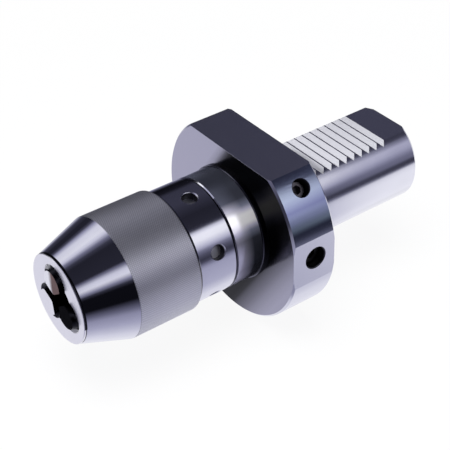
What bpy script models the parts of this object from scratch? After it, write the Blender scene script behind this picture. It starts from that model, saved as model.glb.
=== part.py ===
"""A size 40 VDI tool holder with a keyless precision drill chuck built into it.

The tool axis lies along Y: the chuck's nose points to -Y, the shank to +Y, and +Z is square to the
serrated flat. The origin is the centre of the flange's contact face. The pieces are modelled with
their own Z along the tool axis, pointing forward, under an empty that lays it down. A station is
a distance forward of the contact face. Lengths are in metres, angles in degrees.
"""

import math

import bmesh
import bpy
from mathutils import Matrix

MM = 0.001
CLEARANCE = 0.3 * MM
OVERSHOOT = 1.0 * MM

# Shank
SHANK_RADIUS = 20.0 * MM
SHANK_LENGTH = 63.0 * MM
SHANK_CHAMFER = 1.8 * MM
CENTRE_HOLE_RADIUS = 3.0 * MM
CENTRE_HOLE_DEPTH = 7.0 * MM
SERRATION_HEIGHT = 16.0 * MM
TOOTH_PITCH = 4.0 * MM
TOOTH_CREST = 0.3 * MM
TOOTH_COUNT = 11
FIRST_TOOTH = 50.3 * MM
SEAL_GROOVE_START = 1.2 * MM
SEAL_GROOVE_WIDTH = 3.8 * MM
SEAL_RADIUS = 1.55 * MM
SEAL_STAND_OUT = 0.5 * MM

# Flange and fixed collar
FLANGE_RADIUS = 41.5 * MM
FLANGE_THICKNESS = 20.0 * MM
FLANGE_CHAMFER = 0.8 * MM
TOP_FLAT = FLANGE_RADIUS - 9.0 * MM
SIDE_FLAT = FLANGE_RADIUS - 1.2 * MM
ROOT_STEP_RADIUS = 24.0 * MM
ROOT_STEP_HEIGHT = 1.1 * MM
COLLAR_RADIUS = 23.4 * MM
COLLAR_LENGTH = 13.5 * MM
EDGE_BREAK = 0.4 * MM

# Plugs in the flange, and the coolant way behind the rim plug
RIM_HOLE_ANGLE = 48.0
RIM_HOLE_RADIUS = 3.4 * MM
RIM_HOLE_DEPTH = 13.5 * MM
RIM_HOLE_STATION = 9.0 * MM
COOLANT_RADIUS = 2.5 * MM
COOLANT_OFFSET = FLANGE_RADIUS - 11.0 * MM
SIDE_HOLE_RADIUS = 4.5 * MM
SIDE_HOLE_DEPTH = 12.0 * MM
SIDE_HOLE_STATION = 9.3 * MM
SIDE_HOLE_HEIGHT = 0.8 * MM
PLUG_LENGTH = 4.5 * MM
PLUG_RECESS = 3.5 * MM
COUNTERSINK = 0.4 * MM

# Neck, nut and thrust bearing
NECK_RADIUS = 16.0 * MM
NUT_RADIUS = 13.0 * MM
NUT_LENGTH = 19.0 * MM
NUT_FLANGE_RADIUS = 20.7 * MM
NUT_FLANGE_THICKNESS = 4.0 * MM
LOCK_PIN_RADIUS = 1.5 * MM
LOCK_PIN_STATION = 44.0 * MM
LOCK_PIN_BITE = 2.2 * MM
RACE_THICKNESS = 1.6 * MM
RACE_GROOVE = 0.5 * MM
BALL_RADIUS = 1.5 * MM
BALL_COUNT = 12
CAGE_THICKNESS = 1.6 * MM

# Turning ring, sleeve and nose
RUNNING_GAP = 0.4 * MM
RING_RADIUS = 23.4 * MM
RING_LENGTH = 16.5 * MM
RING_FLOOR = 12.3 * MM
SPANNER_HOLES = 6
SPANNER_HOLE_RADIUS = 3.0 * MM
SPANNER_HOLE_DEPTH = 4.6 * MM
SPANNER_HOLE_OFFSET = 7.5 * MM
SPANNER_HOLE_ANGLE = 10.8
SPIGOT_LENGTH = 6.0 * MM
SPIGOT_RADIUS = 22.7 * MM
SPIGOT_BORE = 21.3 * MM
NECK_SEAL_RADIUS = 0.8 * MM
NECK_SEAL_OFFSET = 2.8 * MM
SLEEVE_RADIUS = 25.0 * MM
SLEEVE_WALL = 3.4 * MM
KNURL_LENGTH = 27.9 * MM
KNURL_CHAMFER = 0.8 * MM
CONE_LENGTH = 19.0 * MM
CONE_FRONT_RADIUS = 18.4 * MM
CAVITY_RADIUS = SLEEVE_RADIUS - SLEEVE_WALL
CAP_RADIUS = 18.2 * MM
CAP_LIP = 0.8 * MM
CAP_SPIGOT_RADIUS = 15.5 * MM
CAP_SPIGOT_LENGTH = 1.8 * MM
MOUTH_RADIUS = 9.6 * MM
TOOL_BORE_RADIUS = 7.2 * MM
LEAD_IN = 5.0 * MM

# Jaws and spindle; the model rests with the jaws part closed
JAW_COUNT = 3
FIRST_JAW_ANGLE = -6.0
JAW_TILT = 18.0
ROD_RADIUS = 5.3 * MM
ROD_OFFSET_AT_FACE = 7.7 * MM
JAW_MOUTH_RADIUS = 7.2 * MM
JAW_STAND_OUT = 1.5 * MM
GRIP_RADIUS = 3.0 * MM
GRIP_RADIUS_OPEN = 6.5 * MM
GRIP_RADIUS_CLOSED = 0.5 * MM
GRIP_LAND = 1.0 * MM
HOOK_WIDTH = 6.4 * MM
HOOK_NECK_WIDTH = 3.6 * MM
HOOK_INNER = 7.5 * MM
HOOK_OUTER = 12.5 * MM
HOOK_THICKNESS = 2.6 * MM
HEAD_RADIUS = 14.0 * MM
HEAD_THICKNESS = 7.0 * MM
HEAD_LIP = 2.2 * MM
SLOT_INNER = 4.2 * MM
STEM_RADIUS = 8.8 * MM
STEM_TAIL = 2.0 * MM
CLIP_RADIUS = 11.5 * MM
CLIP_THICKNESS = 1.5 * MM
CLIP_GROOVE = 1.2 * MM
CLIP_MOUTH = 9.0 * MM
GUIDE_LENGTH = 29.8 * MM
HEAD_CLEARANCE = 0.4 * MM
RETAINER_THICKNESS = 2.2 * MM
RETAINER_WIDTH = 3.8 * MM

# Facets
COARSE_STEPS = 32
FINE_STEPS = 48
ROD_STEPS = 30
HOLE_STEPS = 18
POCKET_STEPS = 12
BALL_SEGMENTS = 8
BALL_RINGS = 6
ARC_STEPS = 5
SMOOTH_ANGLE = 30.0

# Stations that follow from the sizes above
COLLAR_FRONT = FLANGE_THICKNESS + COLLAR_LENGTH
RING_REAR = COLLAR_FRONT + RUNNING_GAP
RING_FRONT = RING_REAR + RING_LENGTH
RACE_SHOULDER = RING_REAR + RING_FLOOR
BALL_TO_RACE = BALL_RADIUS + CLEARANCE - RACE_GROOVE
REAR_RACE_BACK = RACE_SHOULDER + CLEARANCE
BALL_STATION = REAR_RACE_BACK + RACE_THICKNESS + BALL_TO_RACE
FRONT_RACE_BACK = BALL_STATION + BALL_TO_RACE
NECK_FRONT = FRONT_RACE_BACK + RACE_THICKNESS
NUT_FLANGE_BACK = NECK_FRONT + CLEARANCE
NUT_FRONT = NUT_FLANGE_BACK + NUT_FLANGE_THICKNESS
NUT_BACK = NUT_FLANGE_BACK - NUT_LENGTH
SPIGOT_FRONT = RING_FRONT + SPIGOT_LENGTH
SLEEVE_REAR = RING_FRONT + CLEARANCE
CONE_START = SLEEVE_REAR + KNURL_LENGTH
SLEEVE_FRONT = CONE_START + CONE_LENGTH
CAP_LIP_BACK = SLEEVE_FRONT + CLEARANCE
FACE = CAP_LIP_BACK + CAP_LIP
CAP_BACK = CAP_LIP_BACK - CAP_SPIGOT_LENGTH
GUIDE_FRONT = CAP_BACK - CLEARANCE
GUIDE_REAR = GUIDE_FRONT - GUIDE_LENGTH

# Travels of the jaws, and what they decide
TILT = math.radians(JAW_TILT)
OPENING_TRAVEL = (GRIP_RADIUS_OPEN - GRIP_RADIUS) / math.tan(TILT)
CLOSING_TRAVEL = (GRIP_RADIUS - GRIP_RADIUS_CLOSED) / math.tan(TILT)
ROD_BACK_AT_FACE = ROD_OFFSET_AT_FACE + ROD_RADIUS / math.cos(TILT)
HEAD_BACK = NUT_FRONT + CLEARANCE + OPENING_TRAVEL
HEAD_FRONT = HEAD_BACK + HEAD_THICKNESS
GUIDE_SHOULDER = HEAD_FRONT + CLOSING_TRAVEL + CLEARANCE
CLIP_FRONT = NUT_BACK - CLEARANCE - CLOSING_TRAVEL
CLIP_BACK = CLIP_FRONT - CLIP_THICKNESS
STEM_BACK = CLIP_BACK - STEM_TAIL
BORE_FLOOR = STEM_BACK - OPENING_TRAVEL - OVERSHOOT
ROD_REAR = (
    FACE + OPENING_TRAVEL - (CAVITY_RADIUS - CLEARANCE - ROD_BACK_AT_FACE) / math.tan(TILT)
)
ROD_FRONT = FACE + JAW_STAND_OUT
ROD_STOP = ROD_REAR - OPENING_TRAVEL - CLEARANCE
HOOK_REACH = math.hypot(HOOK_OUTER + GRIP_RADIUS_OPEN - GRIP_RADIUS, HOOK_WIDTH / 2)
SLOT_FRONT = HEAD_FRONT - HEAD_LIP
SLOT_BACK = SLOT_FRONT - HOOK_THICKNESS - 2 * CLEARANCE

# Bores and seats
NUT_BORE = STEM_RADIUS + CLEARANCE
HOLDER_BORE = NUT_RADIUS + CLEARANCE
RING_BORE = NECK_RADIUS + CLEARANCE
RACE_OUTER = SPIGOT_BORE - CLEARANCE
BALL_PITCH_RADIUS = (RING_BORE + RACE_OUTER) / 2
GUIDE_BORE = HEAD_RADIUS + HEAD_CLEARANCE
CHANNEL_RADIUS = ROD_RADIUS + CLEARANCE
CAP_SEAT_RADIUS = CAP_SPIGOT_RADIUS + CLEARANCE


def clear_scene():
    for old in list(bpy.data.objects):
        bpy.data.objects.remove(old, do_unlink=True)


def new_collection(name):
    collection = bpy.data.collections.new(name)
    bpy.context.scene.collection.children.link(collection)
    return collection


def new_material(name, colour, roughness, metallic=1.0):
    material = bpy.data.materials.new(name)
    material.use_nodes = True
    shader = material.node_tree.nodes["Principled BSDF"]
    shader.inputs["Base Color"].default_value = (*colour, 1.0)
    shader.inputs["Roughness"].default_value = roughness
    shader.inputs["Metallic"].default_value = metallic
    material.diffuse_color = (*colour, 1.0)
    return material


def add_object(name, mesh, collection, material=None):
    obj = bpy.data.objects.new(name, mesh)
    collection.objects.link(obj)
    obj.parent = tool_axis
    if material:
        mesh.materials.append(material)
        mesh.shade_smooth()
        mesh.set_sharp_from_angle(angle=math.radians(SMOOTH_ANGLE))
    if collection is cutters:
        obj.hide_render = True
        obj.display_type = "WIRE"
    return obj


def mesh_from(name, shape):
    mesh = bpy.data.meshes.new(name)
    shape.to_mesh(mesh)
    shape.free()
    return mesh


def turned(name, profile, collection, material=None, steps=COARSE_STEPS, ring=False):
    """A turned piece. The profile of (radius, station) runs down its outer side, front to back."""
    shape = bmesh.new()
    points = [shape.verts.new((radius, 0.0, station)) for radius, station in profile]
    for start, end in zip(points, points[1:]):
        shape.edges.new((start, end))
    if ring:
        shape.edges.new((points[-1], points[0]))
    obj = add_object(name, mesh_from(name, shape), collection, material)
    screw = obj.modifiers.new("Turn", "SCREW")
    screw.axis = "Z"
    screw.steps = steps
    screw.render_steps = steps
    screw.use_merge_vertices = True
    screw.merge_threshold = 0.00001
    screw.use_smooth_shade = True
    return obj


def rod(name, radius, back, front, collection, material=None, steps=HOLE_STEPS, end_radius=None):
    """A cylinder, or a cone to end_radius, along its own Z from back to front."""
    shape = bmesh.new()
    bmesh.ops.create_cone(
        shape,
        cap_ends=True,
        segments=steps,
        radius1=radius,
        radius2=radius if end_radius is None else end_radius,
        depth=front - back,
        matrix=Matrix.Translation((0.0, 0.0, (front + back) / 2)),
    )
    return add_object(name, mesh_from(name, shape), collection, material)


def block(name, low, high, collection, material=None):
    """A box between two corners."""
    shape = bmesh.new()
    size = [b - a for a, b in zip(low, high)]
    middle = [(a + b) / 2 for a, b in zip(low, high)]
    place = Matrix.Translation(middle) @ Matrix.Diagonal((*size, 1.0))
    bmesh.ops.create_cube(shape, size=1.0, matrix=place)
    return add_object(name, mesh_from(name, shape), collection, material)


def prism(name, outline, half_thickness, place, collection):
    """A flat outline given thickness both ways, as a mesh, with its place applied."""
    curve = bpy.data.curves.new(name, "CURVE")
    curve.dimensions = "2D"
    curve.fill_mode = "BOTH"
    curve.extrude = half_thickness
    spline = curve.splines.new("POLY")
    spline.points.add(len(outline) - 1)
    for point, (across, along) in zip(spline.points, outline):
        point.co = (across, along, 0.0, 1.0)
    spline.use_cyclic_u = True
    source = bpy.data.objects.new(name + "_curve", curve)
    bpy.context.scene.collection.objects.link(source)
    graph = bpy.context.evaluated_depsgraph_get()
    mesh = bpy.data.meshes.new_from_object(source.evaluated_get(graph))
    bpy.data.objects.remove(source)
    shape = bmesh.new()
    shape.from_mesh(mesh)
    bmesh.ops.remove_doubles(shape, verts=shape.verts, dist=0.000001)
    bmesh.ops.recalc_face_normals(shape, faces=shape.faces)
    shape.to_mesh(mesh)
    shape.free()
    mesh.transform(place)
    return add_object(name, mesh, collection)


def cut(obj, cutter):
    change = obj.modifiers.new("Cut " + cutter.name, "BOOLEAN")
    change.operation = "DIFFERENCE"
    change.object = cutter


def join(obj, other):
    change = obj.modifiers.new("Join " + other.name, "BOOLEAN")
    change.operation = "UNION"
    change.object = other


def around_axis(angle):
    """Turns a piece made at the top of the tool axis to an angle from +Z towards +X."""
    return Matrix.Rotation(-math.radians(angle), 4, "Z")


def beside_axis(angle, offset, station=0.0):
    """Moves a piece out from the tool axis, with its Z still along it."""
    return around_axis(angle) @ Matrix.Translation((0.0, offset, station))


def radial_place(angle, station):
    """Stands a piece's Z axis square to the tool axis, pointing outward at an angle."""
    lift = Matrix.Translation((0.0, 0.0, station))
    return lift @ around_axis(angle) @ Matrix.Rotation(-math.pi / 2, 4, "X")


def tilted_place(angle, station=FACE):
    """The axis of one jaw's channel, where it crosses a station near the face."""
    offset = ROD_OFFSET_AT_FACE + (FACE - station) * math.tan(TILT)
    place = Matrix.Translation((0.0, offset, station))
    return around_axis(angle) @ place @ Matrix.Rotation(TILT, 4, "X")


def jaw_angles():
    return [FIRST_JAW_ANGLE + i * 360.0 / JAW_COUNT for i in range(JAW_COUNT)]


def inner_cone(station):
    """The radius of the sleeve's inner cone, which the backs of the jaws slide on."""
    return ROD_BACK_AT_FACE + CLEARANCE + (FACE - station) * math.tan(TILT)


def torus_profile(radius, station, minor):
    """A round section, as points that run down its outer side."""
    count = 2 * ARC_STEPS
    turns = [math.pi / 2 - 2 * math.pi * i / count for i in range(count)]
    return [(radius + minor * math.cos(t), station + minor * math.sin(t)) for t in turns]


def race_groove(facing):
    """The ball groove of a race, from its outer edge inward; facing is +1 for a groove in front."""
    reach = BALL_RADIUS + CLEARANCE
    half_angle = math.acos(BALL_TO_RACE / reach)
    turns = [half_angle * (1 - 2 * i / ARC_STEPS) for i in range(ARC_STEPS + 1)]
    return [
        (BALL_PITCH_RADIUS + reach * math.sin(t), BALL_STATION - facing * reach * math.cos(t))
        for t in turns
    ]


def sunk_hole(name, radius, bottom, seat, place):
    """The cutter of a blind hole with a countersunk mouth at its seat."""
    top = seat + OVERSHOOT
    outline = [
        (0.0, top),
        (radius + COUNTERSINK + OVERSHOOT, top),
        (radius, seat - COUNTERSINK),
        (radius, bottom),
        (0.0, bottom),
    ]
    cutter = turned(name, outline, cutters, steps=HOLE_STEPS)
    cutter.matrix_basis = place
    return cutter


def hexagon_socket(name, across_flats, back, front):
    return rod(name, across_flats / math.sqrt(3), back, front, cutters, steps=6)


def serration_outline():
    """The space above the shank's serrated flat, in (station, height)."""
    depth = (TOOTH_PITCH - TOOTH_CREST) / 2
    clear_height = SHANK_RADIUS + OVERSHOOT
    points = [
        (-SHANK_LENGTH - OVERSHOOT, clear_height),
        (-SHANK_LENGTH - OVERSHOOT, SERRATION_HEIGHT),
    ]
    for i in range(TOOTH_COUNT):
        ridge = -FIRST_TOOTH + i * TOOTH_PITCH
        if i:
            points.append((ridge - TOOTH_CREST / 2, SERRATION_HEIGHT))
        points.append((ridge + TOOTH_CREST / 2, SERRATION_HEIGHT))
        if i < TOOTH_COUNT - 1:
            points.append((ridge + TOOTH_PITCH / 2, SERRATION_HEIGHT - depth))
    points.append((points[-1][0] + clear_height - SERRATION_HEIGHT, clear_height))
    return points


def make_holder_body():
    groove_floor = SHANK_RADIUS + SEAL_STAND_OUT - 2 * SEAL_RADIUS - CLEARANCE
    groove_end = SEAL_GROOVE_START + SEAL_GROOVE_WIDTH
    outside = [
        (NECK_RADIUS - EDGE_BREAK, NECK_FRONT),
        (NECK_RADIUS, NECK_FRONT - EDGE_BREAK),
        (NECK_RADIUS, COLLAR_FRONT),
        (COLLAR_RADIUS - EDGE_BREAK, COLLAR_FRONT),
        (COLLAR_RADIUS, COLLAR_FRONT - EDGE_BREAK),
        (COLLAR_RADIUS, FLANGE_THICKNESS + ROOT_STEP_HEIGHT),
        (ROOT_STEP_RADIUS, FLANGE_THICKNESS + ROOT_STEP_HEIGHT),
        (ROOT_STEP_RADIUS, FLANGE_THICKNESS),
        (FLANGE_RADIUS - FLANGE_CHAMFER, FLANGE_THICKNESS),
        (FLANGE_RADIUS, FLANGE_THICKNESS - FLANGE_CHAMFER),
        (FLANGE_RADIUS, FLANGE_CHAMFER),
        (FLANGE_RADIUS - FLANGE_CHAMFER, 0.0),
        (SHANK_RADIUS, 0.0),
        (SHANK_RADIUS, -SEAL_GROOVE_START),
        (groove_floor, -SEAL_GROOVE_START),
        (groove_floor, -groove_end),
        (SHANK_RADIUS, -groove_end),
        (SHANK_RADIUS, SHANK_CHAMFER - SHANK_LENGTH),
        (SHANK_RADIUS - SHANK_CHAMFER, -SHANK_LENGTH),
        (CENTRE_HOLE_RADIUS, -SHANK_LENGTH),
        (CENTRE_HOLE_RADIUS / 2, CENTRE_HOLE_RADIUS - SHANK_LENGTH),
        (CENTRE_HOLE_RADIUS / 2, CENTRE_HOLE_DEPTH - SHANK_LENGTH),
        (0.0, CENTRE_HOLE_DEPTH - SHANK_LENGTH + CENTRE_HOLE_RADIUS / 2),
        (0.0, BORE_FLOOR),
        (HOLDER_BORE, BORE_FLOOR),
        (HOLDER_BORE, NECK_FRONT),
    ]
    body = turned("holder_body", outside, parts, ground_steel, FINE_STEPS, ring=True)

    sideways = Matrix.Rotation(-math.pi / 2, 4, "Y")
    cut(body, prism("serration", serration_outline(), SHANK_RADIUS + OVERSHOOT, sideways, cutters))

    reach = FLANGE_RADIUS + OVERSHOOT
    behind, ahead = -OVERSHOOT, FLANGE_THICKNESS + OVERSHOOT
    top = block("top_flat", (-reach, TOP_FLAT, behind), (reach, reach, ahead), cutters)
    side = block("side_flat", (SIDE_FLAT, -reach, behind), (reach, reach, ahead), cutters)
    cut(body, top)
    cut(body, side)

    rim_place = radial_place(RIM_HOLE_ANGLE, RIM_HOLE_STATION)
    rim_bottom = FLANGE_RADIUS - RIM_HOLE_DEPTH
    cut(body, sunk_hole("rim_hole", RIM_HOLE_RADIUS, rim_bottom, FLANGE_RADIUS, rim_place))
    side_bottom = SIDE_FLAT - SIDE_HOLE_DEPTH
    cut(body, sunk_hole("side_hole", SIDE_HOLE_RADIUS, side_bottom, SIDE_FLAT, side_hole_place()))
    coolant = rod("coolant_way", COOLANT_RADIUS, -OVERSHOOT, RIM_HOLE_STATION, cutters)
    coolant.matrix_basis = beside_axis(RIM_HOLE_ANGLE, COOLANT_OFFSET)
    cut(body, coolant)

    pin_hole = rod(
        "pin_hole", LOCK_PIN_RADIUS + CLEARANCE, NUT_RADIUS, NECK_RADIUS + OVERSHOOT, cutters
    )
    pin_hole.matrix_basis = radial_place(0.0, LOCK_PIN_STATION)
    cut(body, pin_hole)
    return body


def side_hole_place():
    raised = Matrix.Translation((0.0, SIDE_HOLE_HEIGHT, 0.0))
    return raised @ radial_place(90.0, SIDE_HOLE_STATION)


def make_shank_o_ring():
    radius = SHANK_RADIUS + SEAL_STAND_OUT - SEAL_RADIUS
    middle = -SEAL_GROOVE_START - SEAL_GROOVE_WIDTH / 2
    turned(
        "shank_o_ring",
        torus_profile(radius, middle, SEAL_RADIUS),
        parts,
        rubber,
        FINE_STEPS // 2,
        ring=True,
    )


def make_plug(name, radius, seat, place):
    """A socket plug whose outer face lies a little under the seat it is screwed into."""
    front = seat - PLUG_RECESS
    plug = rod(name, radius, front - PLUG_LENGTH, front, parts, blackened_steel)
    plug.matrix_basis = place
    socket = hexagon_socket(name + "_socket", radius, front - PLUG_LENGTH / 2, front + OVERSHOOT)
    socket.matrix_basis = place
    cut(plug, socket)


def make_plugs():
    rim_place = radial_place(RIM_HOLE_ANGLE, RIM_HOLE_STATION)
    make_plug("rim_plug_screw", RIM_HOLE_RADIUS - CLEARANCE, FLANGE_RADIUS, rim_place)
    make_plug("side_plug_screw", SIDE_HOLE_RADIUS - CLEARANCE, SIDE_FLAT, side_hole_place())


def make_spindle_nut():
    outline = [
        (NUT_BORE + EDGE_BREAK, NUT_FRONT),
        (NUT_FLANGE_RADIUS - EDGE_BREAK, NUT_FRONT),
        (NUT_FLANGE_RADIUS, NUT_FRONT - EDGE_BREAK),
        (NUT_FLANGE_RADIUS, NUT_FLANGE_BACK),
        (NUT_RADIUS, NUT_FLANGE_BACK),
        (NUT_RADIUS, NUT_BACK + EDGE_BREAK),
        (NUT_RADIUS - EDGE_BREAK, NUT_BACK),
        (NUT_BORE, NUT_BACK),
        (NUT_BORE, NUT_FRONT - EDGE_BREAK),
    ]
    nut = turned("spindle_nut", outline, parts, bronze, ring=True)
    bottom = NUT_RADIUS - LOCK_PIN_BITE
    pin_seat = rod("pin_seat", LOCK_PIN_RADIUS + CLEARANCE, bottom, NECK_RADIUS, cutters)
    pin_seat.matrix_basis = radial_place(0.0, LOCK_PIN_STATION)
    cut(nut, pin_seat)
    pin_top = NECK_RADIUS - CLEARANCE
    pin_bottom = bottom + CLEARANCE
    pin = rod("nut_lock_pin", LOCK_PIN_RADIUS, pin_bottom, pin_top, parts, ground_steel)
    pin.matrix_basis = radial_place(0.0, LOCK_PIN_STATION)


def make_bearing():
    rear_front = REAR_RACE_BACK + RACE_THICKNESS
    rear = [(RACE_OUTER, rear_front), (RACE_OUTER, REAR_RACE_BACK)]
    rear += [(RING_BORE, REAR_RACE_BACK), (RING_BORE, rear_front)]
    turned("rear_race", rear + race_groove(1)[::-1], parts, ground_steel, ring=True)

    front = [(RACE_OUTER, NECK_FRONT), (RACE_OUTER, FRONT_RACE_BACK), *race_groove(-1)]
    front += [(RING_BORE, FRONT_RACE_BACK), (RING_BORE, NECK_FRONT)]
    turned("front_race", front, parts, ground_steel, ring=True)

    cage_front, cage_back = BALL_STATION + CAGE_THICKNESS / 2, BALL_STATION - CAGE_THICKNESS / 2
    cage_outline = [(RACE_OUTER, cage_front), (RACE_OUTER, cage_back)]
    cage_outline += [(RING_BORE, cage_back), (RING_BORE, cage_front)]
    cage = turned("ball_cage", cage_outline, parts, brass, ring=True)
    shape = bmesh.new()
    bmesh.ops.create_uvsphere(
        shape, u_segments=BALL_SEGMENTS, v_segments=BALL_RINGS, radius=BALL_RADIUS
    )
    ball_mesh = mesh_from("bearing_ball", shape)
    ball_mesh.materials.append(ground_steel)
    ball_mesh.shade_smooth()
    pockets = bmesh.new()
    for i in range(BALL_COUNT):
        place = beside_axis(i * 360.0 / BALL_COUNT, BALL_PITCH_RADIUS, BALL_STATION)
        ball = add_object(f"bearing_ball_{i + 1:02d}", ball_mesh, parts)
        ball.matrix_basis = place
        bmesh.ops.create_cone(
            pockets,
            cap_ends=True,
            segments=POCKET_STEPS,
            radius1=BALL_RADIUS + CLEARANCE,
            radius2=BALL_RADIUS + CLEARANCE,
            depth=CAGE_THICKNESS + 2 * OVERSHOOT,
            matrix=place,
        )
    cut(cage, add_object("ball_pockets", mesh_from("ball_pockets", pockets), cutters))


def make_spanner_ring():
    seal_room = NECK_SEAL_RADIUS + CLEARANCE
    seal_middle = RING_REAR + NECK_SEAL_OFFSET
    groove_floor = RING_BORE + 2 * NECK_SEAL_RADIUS + CLEARANCE
    outline = [
        (SPIGOT_BORE, SPIGOT_FRONT),
        (SPIGOT_RADIUS, SPIGOT_FRONT),
        (SPIGOT_RADIUS, RING_FRONT),
        (RING_RADIUS - EDGE_BREAK, RING_FRONT),
        (RING_RADIUS, RING_FRONT - EDGE_BREAK),
        (RING_RADIUS, RING_REAR + EDGE_BREAK),
        (RING_RADIUS - EDGE_BREAK, RING_REAR),
        (RING_BORE, RING_REAR),
        (RING_BORE, seal_middle - seal_room),
        (groove_floor, seal_middle - seal_room),
        (groove_floor, seal_middle + seal_room),
        (RING_BORE, seal_middle + seal_room),
        (RING_BORE, RACE_SHOULDER),
        (SPIGOT_BORE, RACE_SHOULDER),
    ]
    ring = turned("spanner_ring", outline, parts, ground_steel, FINE_STEPS, ring=True)
    for i in range(SPANNER_HOLES):
        angle = SPANNER_HOLE_ANGLE + i * 360.0 / SPANNER_HOLES
        place = radial_place(angle, RING_REAR + SPANNER_HOLE_OFFSET)
        bottom = RING_RADIUS - SPANNER_HOLE_DEPTH
        hole = f"spanner_hole_{i + 1}"
        cut(ring, sunk_hole(hole, SPANNER_HOLE_RADIUS, bottom, RING_RADIUS, place))
    seal = torus_profile(RING_BORE + NECK_SEAL_RADIUS, seal_middle, NECK_SEAL_RADIUS)
    turned("neck_o_ring", seal, parts, rubber, ring=True)


def make_knurled_sleeve():
    thread_bore = SPIGOT_RADIUS + CLEARANCE
    cone_meets_cavity = FACE - (CAVITY_RADIUS - inner_cone(FACE)) / math.tan(TILT)
    outline = [
        (CAP_SEAT_RADIUS, SLEEVE_FRONT),
        (CONE_FRONT_RADIUS - EDGE_BREAK, SLEEVE_FRONT),
        (CONE_FRONT_RADIUS, SLEEVE_FRONT - EDGE_BREAK),
        (SLEEVE_RADIUS, CONE_START),
        (SLEEVE_RADIUS, SLEEVE_REAR + KNURL_CHAMFER),
        (SLEEVE_RADIUS - KNURL_CHAMFER, SLEEVE_REAR),
        (thread_bore, SLEEVE_REAR),
        (thread_bore, SPIGOT_FRONT + CLEARANCE),
        (CAVITY_RADIUS, SPIGOT_FRONT + CLEARANCE),
        (CAVITY_RADIUS, cone_meets_cavity),
        (inner_cone(GUIDE_FRONT), GUIDE_FRONT),
        (CAP_SEAT_RADIUS, GUIDE_FRONT),
    ]
    turned("knurled_sleeve", outline, parts, ground_steel, FINE_STEPS, ring=True)


def make_jaw_guide():
    seat = CAVITY_RADIUS - CLEARANCE
    cone_start = FACE - (CAVITY_RADIUS - inner_cone(FACE)) / math.tan(TILT)
    outline = [
        (MOUTH_RADIUS, GUIDE_FRONT),
        (inner_cone(GUIDE_FRONT) - CLEARANCE, GUIDE_FRONT),
        (seat, cone_start),
        (seat, GUIDE_REAR),
        (HOOK_REACH + CLEARANCE, GUIDE_REAR),
        (HOOK_REACH + CLEARANCE, ROD_STOP),
        (GUIDE_BORE, ROD_STOP),
        (GUIDE_BORE, GUIDE_SHOULDER),
        (TOOL_BORE_RADIUS, GUIDE_SHOULDER),
        (TOOL_BORE_RADIUS, GUIDE_FRONT - LEAD_IN),
    ]
    guide = turned("jaw_guide", outline, parts, blackened_steel, ring=True)
    reach = (FACE - ROD_STOP) / math.cos(TILT) + CHANNEL_RADIUS * math.tan(TILT)
    way_half = HOOK_NECK_WIDTH / 2 + CLEARANCE
    way_front = ROD_REAR + CLOSING_TRAVEL + CLEARANCE
    for i, angle in enumerate(jaw_angles()):
        channel = rod(f"channel_{i + 1}", CHANNEL_RADIUS, -reach, ROD_RADIUS, cutters, steps=ROD_STEPS)
        channel.matrix_basis = tilted_place(angle)
        cut(guide, channel)
        neck_way = block(
            f"neck_way_{i + 1}",
            (-way_half, TOOL_BORE_RADIUS / 2, GUIDE_SHOULDER - OVERSHOOT),
            (way_half, HOOK_OUTER, way_front),
            cutters,
        )
        neck_way.matrix_basis = around_axis(angle)
        cut(guide, neck_way)


def make_guide_retaining_ring():
    front = GUIDE_REAR - CLEARANCE
    outer = CAVITY_RADIUS - CLEARANCE
    outline = [
        (outer, front),
        (outer, front - RETAINER_THICKNESS),
        (outer - RETAINER_WIDTH, front - RETAINER_THICKNESS),
        (outer - RETAINER_WIDTH, front),
    ]
    turned("guide_retaining_ring", outline, parts, blackened_steel, ring=True)


def make_nose_cap():
    outline = [
        (MOUTH_RADIUS, FACE),
        (CAP_RADIUS - EDGE_BREAK / 2, FACE),
        (CAP_RADIUS, FACE - EDGE_BREAK / 2),
        (CAP_RADIUS, CAP_LIP_BACK),
        (CAP_SPIGOT_RADIUS, CAP_LIP_BACK),
        (CAP_SPIGOT_RADIUS, CAP_BACK),
        (MOUTH_RADIUS, CAP_BACK),
    ]
    cap = turned("nose_cap", outline, parts, ground_steel, FINE_STEPS, ring=True)
    for i, angle in enumerate(jaw_angles()):
        lobe_back = -3 * ROD_RADIUS
        lobe = rod(f"lobe_{i + 1}", CHANNEL_RADIUS, lobe_back, ROD_RADIUS, cutters, steps=ROD_STEPS)
        lobe.matrix_basis = tilted_place(angle)
        cut(cap, lobe)
        mouth_depth = JAW_MOUTH_RADIUS - CHANNEL_RADIUS
        mouth = rod(
            f"jaw_mouth_{i + 1}",
            CHANNEL_RADIUS,
            FACE - mouth_depth,
            FACE + OVERSHOOT,
            cutters,
            steps=ROD_STEPS,
            end_radius=JAW_MOUTH_RADIUS + OVERSHOOT,
        )
        mouth.matrix_basis = beside_axis(angle, ROD_OFFSET_AT_FACE)
        cut(cap, mouth)


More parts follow.
